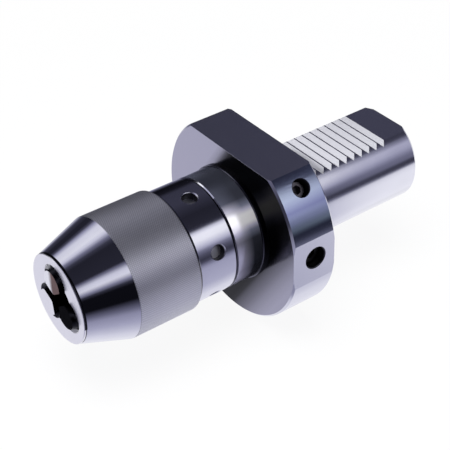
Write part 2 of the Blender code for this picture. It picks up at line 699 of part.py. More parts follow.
def make_jaws():
    """Each jaw is a round rod on a tilt, with a grip cut parallel to the tool axis and a rear hook."""
    rod_length = (ROD_FRONT - ROD_REAR) / math.cos(TILT) + 2 * ROD_RADIUS
    far = 3 * ROD_RADIUS
    flank = math.tan(math.radians(180.0 / JAW_COUNT))
    hook_front = SLOT_FRONT - CLEARANCE
    hook_back = SLOT_BACK + CLEARANCE
    for i, angle in enumerate(jaw_angles()):
        number = i + 1
        place = around_axis(angle)
        shell = rod(
            f"jaw_{number}",
            ROD_RADIUS,
            -rod_length,
            ROD_RADIUS,
            parts,
            blackened_steel,
            ROD_STEPS,
        )
        shell.matrix_basis = tilted_place(angle)

        front = block(
            f"jaw_front_{number}",
            (-far, -far, ROD_FRONT),
            (far, far, ROD_FRONT + far),
            cutters,
        )
        rear = block(
            f"jaw_rear_{number}",
            (-far, -far, ROD_REAR - 2 * far),
            (far, 2 * far, ROD_REAR),
            cutters,
        )
        sector = [
            (-GRIP_LAND / 2, GRIP_RADIUS),
            (GRIP_LAND / 2, GRIP_RADIUS),
            (GRIP_LAND / 2 + far, GRIP_RADIUS + far / flank),
            (GRIP_LAND / 2 + far, -far),
            (-GRIP_LAND / 2 - far, -far),
            (-GRIP_LAND / 2 - far, GRIP_RADIUS + far / flank),
        ]
        lift = Matrix.Translation((0.0, 0.0, ROD_FRONT))
        grip = prism(f"jaw_grip_{number}", sector, ROD_FRONT - HEAD_BACK, lift, cutters)
        neck = block(
            f"jaw_neck_{number}",
            (-HOOK_NECK_WIDTH / 2, HOOK_INNER, hook_back),
            (HOOK_NECK_WIDTH / 2, HOOK_OUTER, ROD_REAR + OVERSHOOT),
            cutters,
        )
        hook = block(
            f"jaw_hook_{number}",
            (-HOOK_WIDTH / 2, HOOK_INNER, hook_back),
            (HOOK_WIDTH / 2, HOOK_OUTER, hook_front),
            cutters,
        )
        for cutter in (front, rear, grip):
            cutter.matrix_basis = place
            cut(shell, cutter)
        for added in (neck, hook):
            added.matrix_basis = place
            join(shell, added)


def make_drive_spindle():
    groove_floor = STEM_RADIUS - CLIP_GROOVE
    outline = [
        (0.0, HEAD_FRONT),
        (HEAD_RADIUS - EDGE_BREAK, HEAD_FRONT),
        (HEAD_RADIUS, HEAD_FRONT - EDGE_BREAK),
        (HEAD_RADIUS, HEAD_BACK),
        (STEM_RADIUS, HEAD_BACK),
        (STEM_RADIUS, CLIP_FRONT + CLEARANCE),
        (groove_floor, CLIP_FRONT + CLEARANCE),
        (groove_floor, CLIP_BACK - CLEARANCE),
        (STEM_RADIUS, CLIP_BACK - CLEARANCE),
        (STEM_RADIUS, STEM_BACK + 2 * EDGE_BREAK),
        (STEM_RADIUS - 2 * EDGE_BREAK, STEM_BACK),
        (0.0, STEM_BACK),
    ]
    spindle = turned("drive_spindle", outline, parts, blackened_steel)
    slot_half = HOOK_WIDTH / 2 + CLEARANCE
    neck_half = HOOK_NECK_WIDTH / 2 + CLEARANCE
    outside = HEAD_RADIUS + OVERSHOOT
    for i, angle in enumerate(jaw_angles()):
        slot = block(
            f"hook_slot_{i + 1}",
            (-slot_half, SLOT_INNER, SLOT_BACK),
            (slot_half, outside, SLOT_FRONT),
            cutters,
        )
        throat = block(
            f"neck_slot_{i + 1}",
            (-neck_half, SLOT_INNER + CLEARANCE, (SLOT_BACK + SLOT_FRONT) / 2),
            (neck_half, outside, HEAD_FRONT + OVERSHOOT),
            cutters,
        )
        for cutter in (slot, throat):
            cutter.matrix_basis = around_axis(angle)
            cut(spindle, cutter)

    clip_outline = [
        (CLIP_RADIUS, CLIP_FRONT),
        (CLIP_RADIUS, CLIP_BACK),
        (groove_floor + CLEARANCE, CLIP_BACK),
        (groove_floor + CLEARANCE, CLIP_FRONT),
    ]
    clip = turned("stem_stop_ring", clip_outline, parts, blackened_steel, ring=True)
    mouth = block(
        "clip_mouth",
        (-CLIP_MOUTH / 2, 0.0, CLIP_BACK - OVERSHOOT),
        (CLIP_MOUTH / 2, CLIP_RADIUS + OVERSHOOT, CLIP_FRONT + OVERSHOOT),
        cutters,
    )
    cut(clip, mouth)


clear_scene()
parts = new_collection("vdi_drill_holder")
cutters = new_collection("cutters")
tool_axis = bpy.data.objects.new("tool_axis", None)
tool_axis.rotation_euler = (math.pi / 2, 0.0, 0.0)
parts.objects.link(tool_axis)

ground_steel = new_material("ground_steel", (0.56, 0.56, 0.62), 0.22)
blackened_steel = new_material("blackened_steel", (0.10, 0.10, 0.12), 0.38)
bronze = new_material("bronze", (0.55, 0.38, 0.20), 0.35)
brass = new_material("brass", (0.70, 0.55, 0.25), 0.30)
rubber = new_material("rubber", (0.02, 0.02, 0.02), 0.75, metallic=0.0)

make_holder_body()
make_shank_o_ring()
make_plugs()
make_spindle_nut()
make_bearing()
make_spanner_ring()
make_knurled_sleeve()
make_jaw_guide()
make_guide_retaining_ring()
make_nose_cap()
make_jaws()
make_drive_spindle()
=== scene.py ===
"""Dresses a VDI drill holder: a serrated round shank with a flange, and a keyless chuck in front.

The tool axis lies along Y, with the nose towards -Y and the shank towards +Y. The origin is the
centre of the flange's contact face. Angles round the axis run from +Z towards +X, in degrees.
Lengths are in metres.
"""

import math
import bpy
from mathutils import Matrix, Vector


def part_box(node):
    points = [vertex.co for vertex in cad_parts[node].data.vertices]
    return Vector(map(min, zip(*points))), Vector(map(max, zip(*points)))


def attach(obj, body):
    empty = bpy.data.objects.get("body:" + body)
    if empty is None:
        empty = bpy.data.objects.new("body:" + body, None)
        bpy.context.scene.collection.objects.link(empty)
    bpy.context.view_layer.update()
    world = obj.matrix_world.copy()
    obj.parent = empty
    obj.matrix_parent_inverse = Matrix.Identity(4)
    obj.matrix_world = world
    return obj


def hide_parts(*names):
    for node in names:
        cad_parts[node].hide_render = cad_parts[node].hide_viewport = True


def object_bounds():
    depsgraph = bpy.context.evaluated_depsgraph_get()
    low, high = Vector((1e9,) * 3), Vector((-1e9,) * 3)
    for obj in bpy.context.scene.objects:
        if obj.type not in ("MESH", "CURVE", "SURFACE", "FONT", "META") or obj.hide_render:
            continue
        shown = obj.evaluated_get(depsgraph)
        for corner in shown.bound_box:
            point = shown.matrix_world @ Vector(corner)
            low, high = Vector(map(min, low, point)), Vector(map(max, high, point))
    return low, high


bl_info = {
    "name": "VDI Drill Holder",
    "version": (1, 0, 0),
    "blender": (4, 5, 0),
    "location": "View3D > Sidebar > Drill Holder",
    "description": "Builds and finishes a VDI drill holder and its studio",
    "category": "Object",
}

import bpy
from bpy.props import FloatProperty, FloatVectorProperty, IntProperty, PointerProperty
from mathutils import Matrix, Vector

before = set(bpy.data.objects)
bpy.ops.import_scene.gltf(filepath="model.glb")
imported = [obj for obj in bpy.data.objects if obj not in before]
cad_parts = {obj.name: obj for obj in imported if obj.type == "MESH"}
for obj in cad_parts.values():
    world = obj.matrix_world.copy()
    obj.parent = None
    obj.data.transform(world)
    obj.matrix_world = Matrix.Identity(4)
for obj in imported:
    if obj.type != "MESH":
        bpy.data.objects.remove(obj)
CAD_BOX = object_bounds()

MM = 0.001
TURN = 2 * math.pi
MERGE = 1e-6
SMOOTH_ANGLE = math.radians(30.0)
EDGE = 0.15 * MM
# Height below which the painted dark line round the nose stops.
SHADE_LINE_END = -3.0 * MM
BODY_LOW, BODY_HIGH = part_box("holder_body")
RING_LOW, RING_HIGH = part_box("spanner_ring")
SLEEVE_LOW, SLEEVE_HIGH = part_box("knurled_sleeve")
CAP_LOW, CAP_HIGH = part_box("nose_cap")
SEAL_LOW, SEAL_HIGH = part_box("shank_o_ring")


def distance(name, value, description):
    """A length that a user may change."""
    return FloatProperty(
        name=name,
        description=description,
        default=value,
        min=0.0,
        precision=5,
        subtype="DISTANCE",
        unit="LENGTH",
    )


def angle(name, degrees, description):
    """An angle that a user may change."""
    return FloatProperty(
        name=name,
        description=description,
        default=math.radians(degrees),
        subtype="ANGLE",
        unit="ROTATION",
    )


def tint(name, value, description):
    """A colour that a user may change."""
    return FloatVectorProperty(
        name=name,
        description=description,
        default=value,
        min=0.0,
        max=1.0,
        size=3,
        subtype="COLOR",
    )


class HolderSizes(bpy.types.PropertyGroup):
    """Sizes of the shank, the flange and the fixed collar."""

    shank_radius: distance("Shank radius", 20.0 * MM, "Radius of the round shank")
    shank_length: distance("Shank length", BODY_HIGH.y, "From the contact face to the shank's end")
    shank_chamfer: distance("Shank chamfer", 1.8 * MM, "Chamfer at the shank's end")
    centre_hole: distance("Centre hole", 3.0 * MM, "Radius of the centre hole's mouth")
    serration_height: distance("Serration height", 16.0 * MM, "Height of the tooth tips")
    tooth_pitch: distance("Tooth pitch", 4.0 * MM, "From one tooth to the next")
    tooth_crest: distance("Tooth crest", 0.6 * MM, "Width of a tooth's flat tip")
    first_tooth: distance("First tooth", 50.3 * MM, "Station of the rearmost tooth")
    tooth_count: IntProperty(name="Teeth", description="Teeth on the shank", default=11, min=1)
    flange_radius: distance("Flange radius", -BODY_LOW.x, "Radius of the flange")
    flange_thickness: distance("Flange thickness", 20.0 * MM, "Thickness of the flange")
    flange_chamfer: distance("Flange chamfer", 0.8 * MM, "Chamfer at the rim's two edges")
    top_flat: distance("Top flat", BODY_HIGH.z, "Height of the flat on top of the flange")
    side_flat: distance("Side flat", BODY_HIGH.x, "Distance of the flat on the flange's side")
    collar_radius: distance("Collar radius", 23.4 * MM, "Radius of the fixed collar")
    collar_front: distance("Collar front", -RING_HIGH.y - 0.4 * MM, "Station of its front face")
    root_step: distance("Root step", 1.1 * MM, "Height of the step at the collar's root")
    neck_radius: distance("Neck radius", 16.0 * MM, "Radius of the neck under the sleeve")
    neck_front: distance("Neck front", 52.3 * MM, "Station of the neck's end")
    rim_hole_radius: distance("Rim hole", 3.6 * MM, "Radius of the hole in the round rim")
    rim_hole_station: distance("Rim hole station", 9.0 * MM, "Station of the hole in the rim")
    rim_hole_depth: distance("Rim hole depth", 13.5 * MM, "Depth of the hole in the rim")
    rim_hole_angle: angle("Rim hole angle", 48.0, "Angle of the hole in the rim")
    side_hole_radius: distance("Side hole", 4.5 * MM, "Radius of the hole in the side flat")
    side_hole_station: distance("Side hole station", 9.3 * MM, "Station of the side hole")
    side_hole_height: distance("Side hole height", 0.8 * MM, "Height of the side hole's axis")
    side_hole_depth: distance("Side hole depth", 12.0 * MM, "Depth of the hole in the side flat")
    countersink: distance("Countersink", 0.4 * MM, "Countersink of a hole's mouth")
    plug_recess: distance("Plug recess", 3.5 * MM, "Depth of a plug under its seat")
    plug_length: distance("Plug length", 4.5 * MM, "Length of a socket plug")
    plug_gap: distance("Plug gap", 0.3 * MM, "Gap round a socket plug")


class ChuckSizes(bpy.types.PropertyGroup):
    """Sizes of the turning ring, the sleeve, the nose and the jaws."""

    ring_radius: distance("Ring radius", 23.4 * MM, "Radius of the ring with the spanner holes")
    hole_radius: distance("Hole radius", 3.0 * MM, "Radius of a spanner hole")
    hole_depth: distance("Hole depth", 3.4 * MM, "Depth of a spanner hole")
    hole_station: distance("Hole station", 41.4 * MM, "Station of the spanner holes")
    hole_angle: angle("Hole angle", 10.8, "Angle of the first spanner hole")
    hole_count: IntProperty(name="Holes", description="Spanner holes", default=6, min=1)
    sleeve_radius: distance("Sleeve radius", 25.0 * MM, "Radius over the knurled band")
    knurl_front: distance("Knurl front", 78.6 * MM, "Station where the knurled band ends")
    knurl_depth: distance("Knurl depth", 0.12 * MM, "Depth of the knurl's grooves")
    knurl_columns: IntProperty(name="Knurl columns", description="Points round", default=320, min=24)
    knurl_rows: IntProperty(name="Knurl rows", description="Points along", default=56, min=4)
    cone_radius: distance("Cone radius", 18.4 * MM, "Radius at the front of the cone")
    cap_radius: distance("Cap radius", 18.2 * MM, "Radius of the nose cap")
    mouth_radius: distance("Mouth radius", 9.6 * MM, "Radius of the middle of the mouth")
    rod_radius: distance("Jaw radius", 5.3 * MM, "Radius of a jaw's round rod")
    rod_offset: distance("Jaw offset", 7.7 * MM, "Distance of a jaw's axis at the face")
    jaw_stand_out: distance("Jaw stand-out", 1.5 * MM, "How far the jaws stand out at rest")
    jaw_mouth_radius: distance("Jaw mouth", 7.2 * MM, "Radius of a jaw mouth's countersink")
    grip_radius: distance("Grip radius", 3.0 * MM, "Distance of a jaw's grip from the axis")
    grip_land: distance("Grip land", 1.0 * MM, "Width of a jaw's gripping land")
    jaw_tilt: angle("Jaw tilt", 18.0, "Tilt of a jaw's channel")
    first_jaw: angle("First jaw", -6.0, "Angle of the first jaw round the axis")


class FinishColours(bpy.types.PropertyGroup):
    """Colours of the finishes."""

    ground: tint("Ground steel", (0.70, 0.70, 0.77), "Ground and turned steel")
    milled: tint("Milled steel", (0.66, 0.66, 0.74), "Milled flats and teeth")
    knurled: tint("Knurled steel", (0.75, 0.75, 0.82), "Knurled band")
    # Near black, as painted shade on the walls of the holes.
    shaded_drilled: tint("Drilled steel", (0.06, 0.06, 0.07), "Walls of the drilled holes")
    # Near white, as painted light on the floors of the spanner holes.
    hole_floor_painted_light: tint("Hole floor", (0.95, 0.95, 1.0), "Floors of the spanner holes")
    rim_plug: tint("Rim plug", (0.16, 0.15, 0.165), "Plug in the round rim")
    side_plug: tint("Side plug", (0.10, 0.10, 0.09), "Plug in the side flat")
    toothed: tint("Toothed steel", (0.69, 0.69, 0.73), "Flanks of the teeth")
    # Base colour of the collar, under its painted highlight and shade.
    collar: tint("Collar steel", (0.58, 0.62, 0.85), "Fixed collar")
    # Dark, as painted shade at the collar's root and on part of its front bevel.
    root: tint("Root steel", (0.14, 0.14, 0.17), "Step at the root of the collar")
    # Base colour of the flange's face, under its painted shade.
    faced_painted_shade: tint("Faced steel", (0.57, 0.56, 0.64), "Turned face of the flange")
    nose: tint("Nose steel", (0.88, 0.87, 0.90), "Face of the nose cap")
    # Near white, as painted light on the countersinks of the jaw mouths.
    mouth: tint("Mouth steel", (0.95, 0.95, 1.0), "Countersinks of the jaw mouths")
    # Near black, as painted shade on the jaws' sides inside the mouths.
    jaw: tint("Jaw steel", (0.02, 0.02, 0.025), "Hardened jaws")
    # Near white, as a painted highlight on the first jaw's end.
    jaw_end_painted_highlight: tint("Jaw end", (1.0, 1.0, 1.0), "Bright end of a jaw")
    # Brown towards one side of that highlight.
    jaw_brown_side: tint("Jaw heat tint", (0.10, 0.03, 0.025), "Brown tint on a jaw's end")
    # Also used as painted shade on the ring's rear edge, the sleeve's edges and the nose cap.
    black: tint("Black steel", (0.035, 0.035, 0.045), "Blackened plugs and inner parts")
    brass: tint("Brass", (0.62, 0.43, 0.17), "Brass and bronze inner parts")
    rubber: tint("Rubber", (0.012, 0.012, 0.014), "Seals")
    floor: tint("Floor", (0.90, 0.90, 0.91), "Floor of the studio")


def sizes():
    return bpy.context.scene.drill_holder_sizes


def chuck():
    return bpy.context.scene.drill_holder_chuck


def colours():
    return bpy.context.scene.drill_holder_colours


# Modelling


def start_fresh():
    """Nothing is selected when this is done, so that an operator acts on its own piece alone."""
    if bpy.context.mode != "OBJECT":
        bpy.ops.object.mode_set(mode="OBJECT")
    bpy.ops.object.select_all(action="DESELECT")


def make_active(obj):
    start_fresh()
    obj.select_set(True)
    bpy.context.view_layer.objects.active = obj


def clean_up(obj):
    """Merges doubles and turns the faces outward."""
    make_active(obj)
    bpy.ops.object.mode_set(mode="EDIT")
    bpy.ops.mesh.select_all(action="SELECT")
    bpy.ops.mesh.remove_doubles(threshold=MERGE)
    bpy.ops.mesh.normals_make_consistent(inside=False)
    bpy.ops.object.mode_set(mode="OBJECT")


def first_point(name, place):
    """A piece that starts as one point, with edit mode on."""
    start_fresh()
    bpy.ops.mesh.primitive_plane_add(size=MM)
    obj = bpy.context.object
    obj.name = name
    obj.data.name = name
    bpy.ops.object.mode_set(mode="EDIT")
    bpy.ops.mesh.select_mode(type="VERT")
    bpy.ops.mesh.select_all(action="SELECT")
    bpy.ops.mesh.merge(type="CENTER")
    bpy.ops.transform.translate(value=place)
    return obj


def draw_line(points):
    """Extrudes the selected point from each of the points to the next."""
    for start, end in zip(points, points[1:]):
        step = Vector(end) - Vector(start)
        bpy.ops.mesh.extrude_vertices_move(TRANSFORM_OT_translate={"value": step})


def turned(name, profile, steps):
    """A closed outline of (radius, station) turned about the tool axis."""
    points = [Vector((0.0, -station, radius)) for radius, station in profile]
    obj = first_point(name, points[0])
    draw_line(points + points[:1])
    bpy.ops.mesh.select_all(action="SELECT")
    bpy.ops.mesh.remove_doubles(threshold=MERGE)
    bpy.ops.mesh.spin(steps=steps, angle=TURN, center=(0.0, 0.0, 0.0), axis=(0.0, 1.0, 0.0))
    bpy.ops.object.mode_set(mode="OBJECT")
    clean_up(obj)
    return obj


def prism(name, outline, thickness):
    """A flat outline in the plane of Y and Z, extruded along X, centred on the middle plane."""
    points = [Vector((-thickness / 2, along, height)) for along, height in outline]
    obj = first_point(name, points[0])
    draw_line(points + points[:1])
    bpy.ops.mesh.select_all(action="SELECT")
    bpy.ops.mesh.remove_doubles(threshold=MERGE)
    bpy.ops.mesh.edge_face_add()
    bpy.ops.mesh.extrude_region_move(TRANSFORM_OT_translate={"value": (thickness, 0.0, 0.0)})
    bpy.ops.object.mode_set(mode="OBJECT")
    clean_up(obj)
    return obj


def block(name, low, high):
    """A box between two corners."""
    start_fresh()
    low, high = Vector(low), Vector(high)
    bpy.ops.mesh.primitive_cube_add(size=1.0, location=(low + high) / 2)
    obj = bpy.context.object
    obj.name = name
    obj.scale = high - low
    bpy.ops.object.transform_apply(location=True, rotation=True, scale=True)
    return obj


def place(obj, matrix):
    """Moves a piece and keeps its object at the origin."""
    obj.matrix_world = matrix
    make_active(obj)
    bpy.ops.object.transform_apply(location=True, rotation=True, scale=True)
    return obj


def combine(piece, other, operation):
    """Applies a Boolean with another piece, which is then removed."""
    change = piece.modifiers.new(other.name, "BOOLEAN")
    change.operation = operation
    change.solver = "EXACT"
    change.material_mode = "TRANSFER"
    change.object = other
    make_active(piece)
    bpy.ops.object.modifier_apply(modifier=change.name)
    make_active(other)
    bpy.ops.object.delete()
    return piece


def cut(piece, cutter):
    return combine(piece, cutter, "DIFFERENCE")


def outward(degrees):
    """The direction square to the tool axis at an angle round it."""
    turn = math.radians(degrees)
    return Vector((math.sin(turn), 0.0, math.cos(turn)))


def radial(degrees, station, rise=0.0):
    """Stands a piece turned about the tool axis square to it, its nose end inward."""
    stand = Vector((0.0, 1.0, 0.0)).rotation_difference(outward(degrees)).to_matrix().to_4x4()
    return Matrix.Translation((0.0, -station, rise)) @ stand


def around(degrees):
    """Turns a piece made at the top of the tool axis to an angle round it."""
    return Matrix.Rotation(math.radians(degrees), 4, "Y")


def sunk_hole(radius, sink, bottom, seat, finish, steps=48):
    """The cutter of a blind hole with a countersunk mouth at its seat."""
    top = seat + MM
    profile = [
        (0.0, -top),
        (radius + sink + MM, -top),
        (radius, sink - seat),
        (radius, -bottom),
        (0.0, -bottom),
    ]
    return coat(turned("hole", profile, steps), finish)


def smooth(obj):
    """Smooths the round faces and keeps the large flat ones flat."""
    make_active(obj)
    bpy.ops.object.shade_smooth_by_angle(angle=SMOOTH_ANGLE)
    weights = obj.modifiers.new("Even faces", "WEIGHTED_NORMAL")
    weights.keep_sharp = True
    bpy.ops.object.modifier_apply(modifier=weights.name)


def break_edges(obj, test, width, segments=2):
    """Bevels the sharp edges that pass a test of their two ends."""
    make_active(obj)
    bpy.ops.object.mode_set(mode="EDIT")
    bpy.ops.mesh.select_mode(type="EDGE")
    bpy.ops.mesh.select_all(action="DESELECT")
    bpy.ops.mesh.edges_select_sharp(sharpness=SMOOTH_ANGLE)
    bpy.ops.object.mode_set(mode="OBJECT")
    mesh = obj.data
    chosen = []
    for edge in mesh.edges:
        ends = [mesh.vertices[i].co for i in edge.vertices]
        chosen.append(edge.select and all(test(end) for end in ends))
    for part in (mesh.vertices, mesh.edges, mesh.polygons):
        part.foreach_set("select", [False] * len(part))
    for edge, wanted in zip(mesh.edges, chosen):
        edge.select = wanted
    bpy.ops.object.mode_set(mode="EDIT")
    bpy.ops.mesh.select_mode(type="EDGE")
    bpy.ops.mesh.bevel(offset=width, segments=segments, affect="EDGES", clamp_overlap=True)
    bpy.ops.object.mode_set(mode="OBJECT")


def paint_faces(obj, material, test):
    """Gives a second finish to the faces whose middle and normal pass a test."""
    obj.data.materials.append(material)
    index = len(obj.data.materials) - 1
    for face in obj.data.polygons:
        if test(face.center, face.normal):
            face.material_index = index


def coat(obj, material):
    """Gives the whole piece one finish."""
    obj.data.materials.clear()
    obj.data.materials.append(material)
    return obj


def dress(obj, body, slot, *nodes):
    """Lets a finished piece ride on its body in place of its nodes."""
    smooth(obj)
    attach(obj, body)
    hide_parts(*nodes)


# Finishes


def add_node(tree, kind, **values):
    """A shader node, with its properties set and its inputs set or linked."""
    node = tree.nodes.new(kind)
    for name, value in values.items():
        if hasattr(node, name):
            setattr(node, name, value)
            continue
        socket = node.inputs[name.replace("_", " ")]
        if isinstance(value, bpy.types.NodeSocket):
            tree.links.new(value, socket)
        else:
            socket.default_value = value
    return node


def maths(tree, operation, first, second=None):
    node = tree.nodes.new("ShaderNodeMath")
    node.operation = operation
    for socket, value in zip(node.inputs, (first, second)):
        if isinstance(value, bpy.types.NodeSocket):
            tree.links.new(value, socket)
        elif value is not None:
            socket.default_value = value
    return node.outputs[0]


def spread(tree, value, low, high, start=0.0, end=1.0):
    """Maps a value from start and end to low and high."""
    node = tree.nodes.new("ShaderNodeMapRange")
    tree.links.new(value, node.inputs["Value"])
    node.inputs["From Min"].default_value = start
    node.inputs["From Max"].default_value = end
    node.inputs["To Min"].default_value = low
    node.inputs["To Max"].default_value = high
    return node.outputs["Result"]


def blend_colours(tree, factor, first, second):
    node = tree.nodes.new("ShaderNodeMix")
    node.data_type = "RGBA"
    tree.links.new(factor, node.inputs["Factor"])
    tree.links.new(first, node.inputs["A"])
    tree.links.new(second, node.inputs["B"])
    return node.outputs["Result"]


def new_finish(name, metallic):
    material = bpy.data.materials.new(name)
    material.use_nodes = True
    tree = material.node_tree
    shader = tree.nodes["Principled BSDF"]
    shader.inputs["Metallic"].default_value = metallic
    coordinates = tree.nodes.new("ShaderNodeTexCoord").outputs["Object"]
    return material, tree, shader, coordinates


def set_shader(material, name, value):
    material.node_tree.nodes["Principled BSDF"].inputs[name].default_value = value


def axis_distance(tree, coordinates):
    """The distance from the tool axis, and the place along it."""
    parts = add_node(tree, "ShaderNodeSeparateXYZ", Vector=coordinates)
    across = maths(tree, "MULTIPLY", parts.outputs["X"], parts.outputs["X"])
    up = maths(tree, "MULTIPLY", parts.outputs["Z"], parts.outputs["Z"])
    away = maths(tree, "SQRT", maths(tree, "ADD", across, up))
    return away, parts.outputs["Y"]


def tinted(tree, colour, low, high, mix):
    """A colour that varies in lightness with a value from 0 to 1."""
    dark = (*[c * low for c in colour], 1.0)
    light = (*[min(1.0, c * high) for c in colour], 1.0)
    node = tree.nodes.new("ShaderNodeMix")
    node.data_type = "RGBA"
    tree.links.new(mix, node.inputs["Factor"])
    node.inputs["A"].default_value = dark
    node.inputs["B"].default_value = light
    return node.outputs["Result"]


def noise(tree, vector, scale, detail=3.0):
    node = tree.nodes.new("ShaderNodeTexNoise")
    tree.links.new(vector, node.inputs["Vector"])
    node.inputs["Scale"].default_value = scale
    node.inputs["Detail"].default_value = detail
    return node.outputs["Fac"]


def metal_finish(name, colour, roughness, lines=0.0, pitch=6000.0, mottle=0.06):
    """Steel with fine lines left by turning or grinding round the tool axis."""
    material, tree, shader, coordinates = new_finish(name, 1.0)
    away, along = axis_distance(tree, coordinates)
    rings = add_node(tree, "ShaderNodeCombineXYZ", X=away, Y=along).outputs["Vector"]
    fine = noise(tree, rings, pitch, 2.0)
    cloud = noise(tree, coordinates, 90.0, 4.0)
    tree.links.new(tinted(tree, colour, 1.0 - mottle, 1.0 + mottle, cloud), shader.inputs["Base Color"])
    rough = maths(tree, "ADD", spread(tree, cloud, -0.03, 0.03), spread(tree, fine, -0.03, 0.03))
    tree.links.new(maths(tree, "ADD", rough, roughness), shader.inputs["Roughness"])
    if lines:
        bump = tree.nodes.new("ShaderNodeBump")
        bump.inputs["Strength"].default_value = lines
        bump.inputs["Distance"].default_value = 0.00002
        tree.links.new(fine, bump.inputs["Height"])
        tree.links.new(bump.outputs["Normal"], shader.inputs["Normal"])
    return material


def shade_of(colour, light, hue=(1.0, 1.0, 1.0)):
    """A colour made lighter or darker, and turned towards a hue."""
    return (*[min(1.0, part * light * tone) for part, tone in zip(colour, hue)], 1.0)


def shade_ramp(tree, place, colour, shades):
    """A colour ramp over the distance from one side of the flange to the other."""
    ramp = tree.nodes.new("ShaderNodeValToRGB")
    reach = sizes().flange_radius
    tree.links.new(spread(tree, place, 0.0, 1.0, -reach, reach), ramp.inputs["Fac"])
    elements = ramp.color_ramp.elements
    for i, (where, *shade) in enumerate(shades):
        spot = (where * MM + reach) / (2 * reach)
        element = elements[i] if i < 2 else elements.new(spot)
        element.position = spot
        element.color = shade_of(colour, *shade)
    return ramp.outputs["Color"]


def painted_light_finish(name, colour, roughness, direction, shades, front=None):
    """Turned steel with painted light and shade: its lightness changes along a direction across it.

    The shades can turn into others towards the front, given with the stations of the change.
    """
    material, tree, shader, coordinates = new_finish(name, 1.0)
    away, along = axis_distance(tree, coordinates)
    rings = add_node(tree, "ShaderNodeCombineXYZ", X=away, Y=along).outputs["Vector"]
    fine = noise(tree, rings, 6000.0, 2.0)
    slant = tree.nodes.new("ShaderNodeVectorMath")
    slant.operation = "DOT_PRODUCT"
    tree.links.new(coordinates, slant.inputs[0])
    slant.inputs[1].default_value = direction
    base = shade_ramp(tree, slant.outputs["Value"], colour, shades)
    if front:
        front_shades, start, end = front
        reached = spread(tree, along, 0.0, 1.0, -start, -end)
        ahead = shade_ramp(tree, slant.outputs["Value"], colour, front_shades)
        base = blend_colours(tree, reached, base, ahead)
    tree.links.new(base, shader.inputs["Base Color"])
    tree.links.new(spread(tree, fine, roughness - 0.03, roughness + 0.03), shader.inputs["Roughness"])
    return material


def milled_finish(name, colour, roughness, lines):
    """Steel with the straight lines of a milling pass along X."""
    material, tree, shader, coordinates = new_finish(name, 1.0)
    stretch = tree.nodes.new("ShaderNodeMapping")
    tree.links.new(coordinates, stretch.inputs["Vector"])
    stretch.inputs["Scale"].default_value = (120.0, 4500.0, 4500.0)
    fine = noise(tree, stretch.outputs["Vector"], 1.0, 2.0)
    cloud = noise(tree, coordinates, 70.0, 4.0)
    tree.links.new(tinted(tree, colour, 0.94, 1.06, cloud), shader.inputs["Base Color"])
    rough = maths(tree, "ADD", spread(tree, fine, -0.04, 0.04), roughness)
    tree.links.new(rough, shader.inputs["Roughness"])
    bump = tree.nodes.new("ShaderNodeBump")
    bump.inputs["Strength"].default_value = lines
    bump.inputs["Distance"].default_value = 0.00002
    tree.links.new(fine, bump.inputs["Height"])
    tree.links.new(bump.outputs["Normal"], shader.inputs["Normal"])
    return material


def jaw_end_finish(name, colour, browning):
    """Bright steel as a painted highlight, turning brown towards one side."""
    material, tree, shader, coordinates = new_finish(name, 1.0)
    parts = add_node(tree, "ShaderNodeSeparateXYZ", Vector=coordinates)
    cloud = noise(tree, coordinates, 260.0, 3.0)
    side = spread(tree, parts.outputs["X"], 0.0, 1.0, -2.6 * MM, -0.2 * MM)
    browned = maths(tree, "MULTIPLY", side, spread(tree, cloud, 0.7, 1.5))
    node = tree.nodes.new("ShaderNodeMix")
    node.data_type = "RGBA"
    tree.links.new(browned, node.inputs["Factor"])
    node.inputs["A"].default_value = (*colour, 1.0)
    node.inputs["B"].default_value = (*browning, 1.0)
    tree.links.new(node.outputs["Result"], shader.inputs["Base Color"])
    tree.links.new(spread(tree, cloud, 0.3, 0.4), shader.inputs["Roughness"])
    return material


def knurl_finish(name, colour, crest, depth):
    """Steel with painted shade that darkens it into the grooves of the knurl."""
    material, tree, shader, coordinates = new_finish(name, 1.0)
    away, along = axis_distance(tree, coordinates)
    raised = spread(tree, away, 0.0, 1.0, crest - depth, crest)
    cloud = noise(tree, coordinates, 90.0, 4.0)
    groove_shade = maths(tree, "MULTIPLY", raised, spread(tree, cloud, 0.8, 1.1))
    tree.links.new(tinted(tree, colour, 0.6, 1.15, groove_shade), shader.inputs["Base Color"])
    tree.links.new(spread(tree, raised, 0.42, 0.30), shader.inputs["Roughness"])
    return material


def plain_finish(name, colour, roughness, metallic, scale=400.0):
    """A cast, rubber or blackened surface with a fine grain."""
    material, tree, shader, coordinates = new_finish(name, metallic)
    grain = noise(tree, coordinates, scale, 5.0)
    tree.links.new(tinted(tree, colour, 0.8, 1.25, grain), shader.inputs["Base Color"])
    rough = maths(tree, "ADD", spread(tree, grain, -0.05, 0.05), roughness)
    tree.links.new(rough, shader.inputs["Roughness"])
    bump = tree.nodes.new("ShaderNodeBump")
    bump.inputs["Strength"].default_value = 0.15
    bump.inputs["Distance"].default_value = 0.00003
    tree.links.new(grain, bump.inputs["Height"])
    tree.links.new(bump.outputs["Normal"], shader.inputs["Normal"])
    return material


# Pieces


def serration_outline(size):
    """The space above the teeth, in (along, height)."""
    depth = (size.tooth_pitch - size.tooth_crest) / 2
    clear = size.shank_radius + MM
    end = size.shank_length + MM
    points = [(end, clear), (end, size.serration_height)]
    for i in range(size.tooth_count):
        ridge = size.first_tooth - i * size.tooth_pitch
        if i:
            points.append((ridge + size.tooth_crest / 2, size.serration_height))
        points.append((ridge - size.tooth_crest / 2, size.serration_height))
        if i < size.tooth_count - 1:
            points.append((ridge - size.tooth_pitch / 2, size.serration_height - depth))
    points.append((points[-1][0] - clear + size.serration_height, clear))
    return points


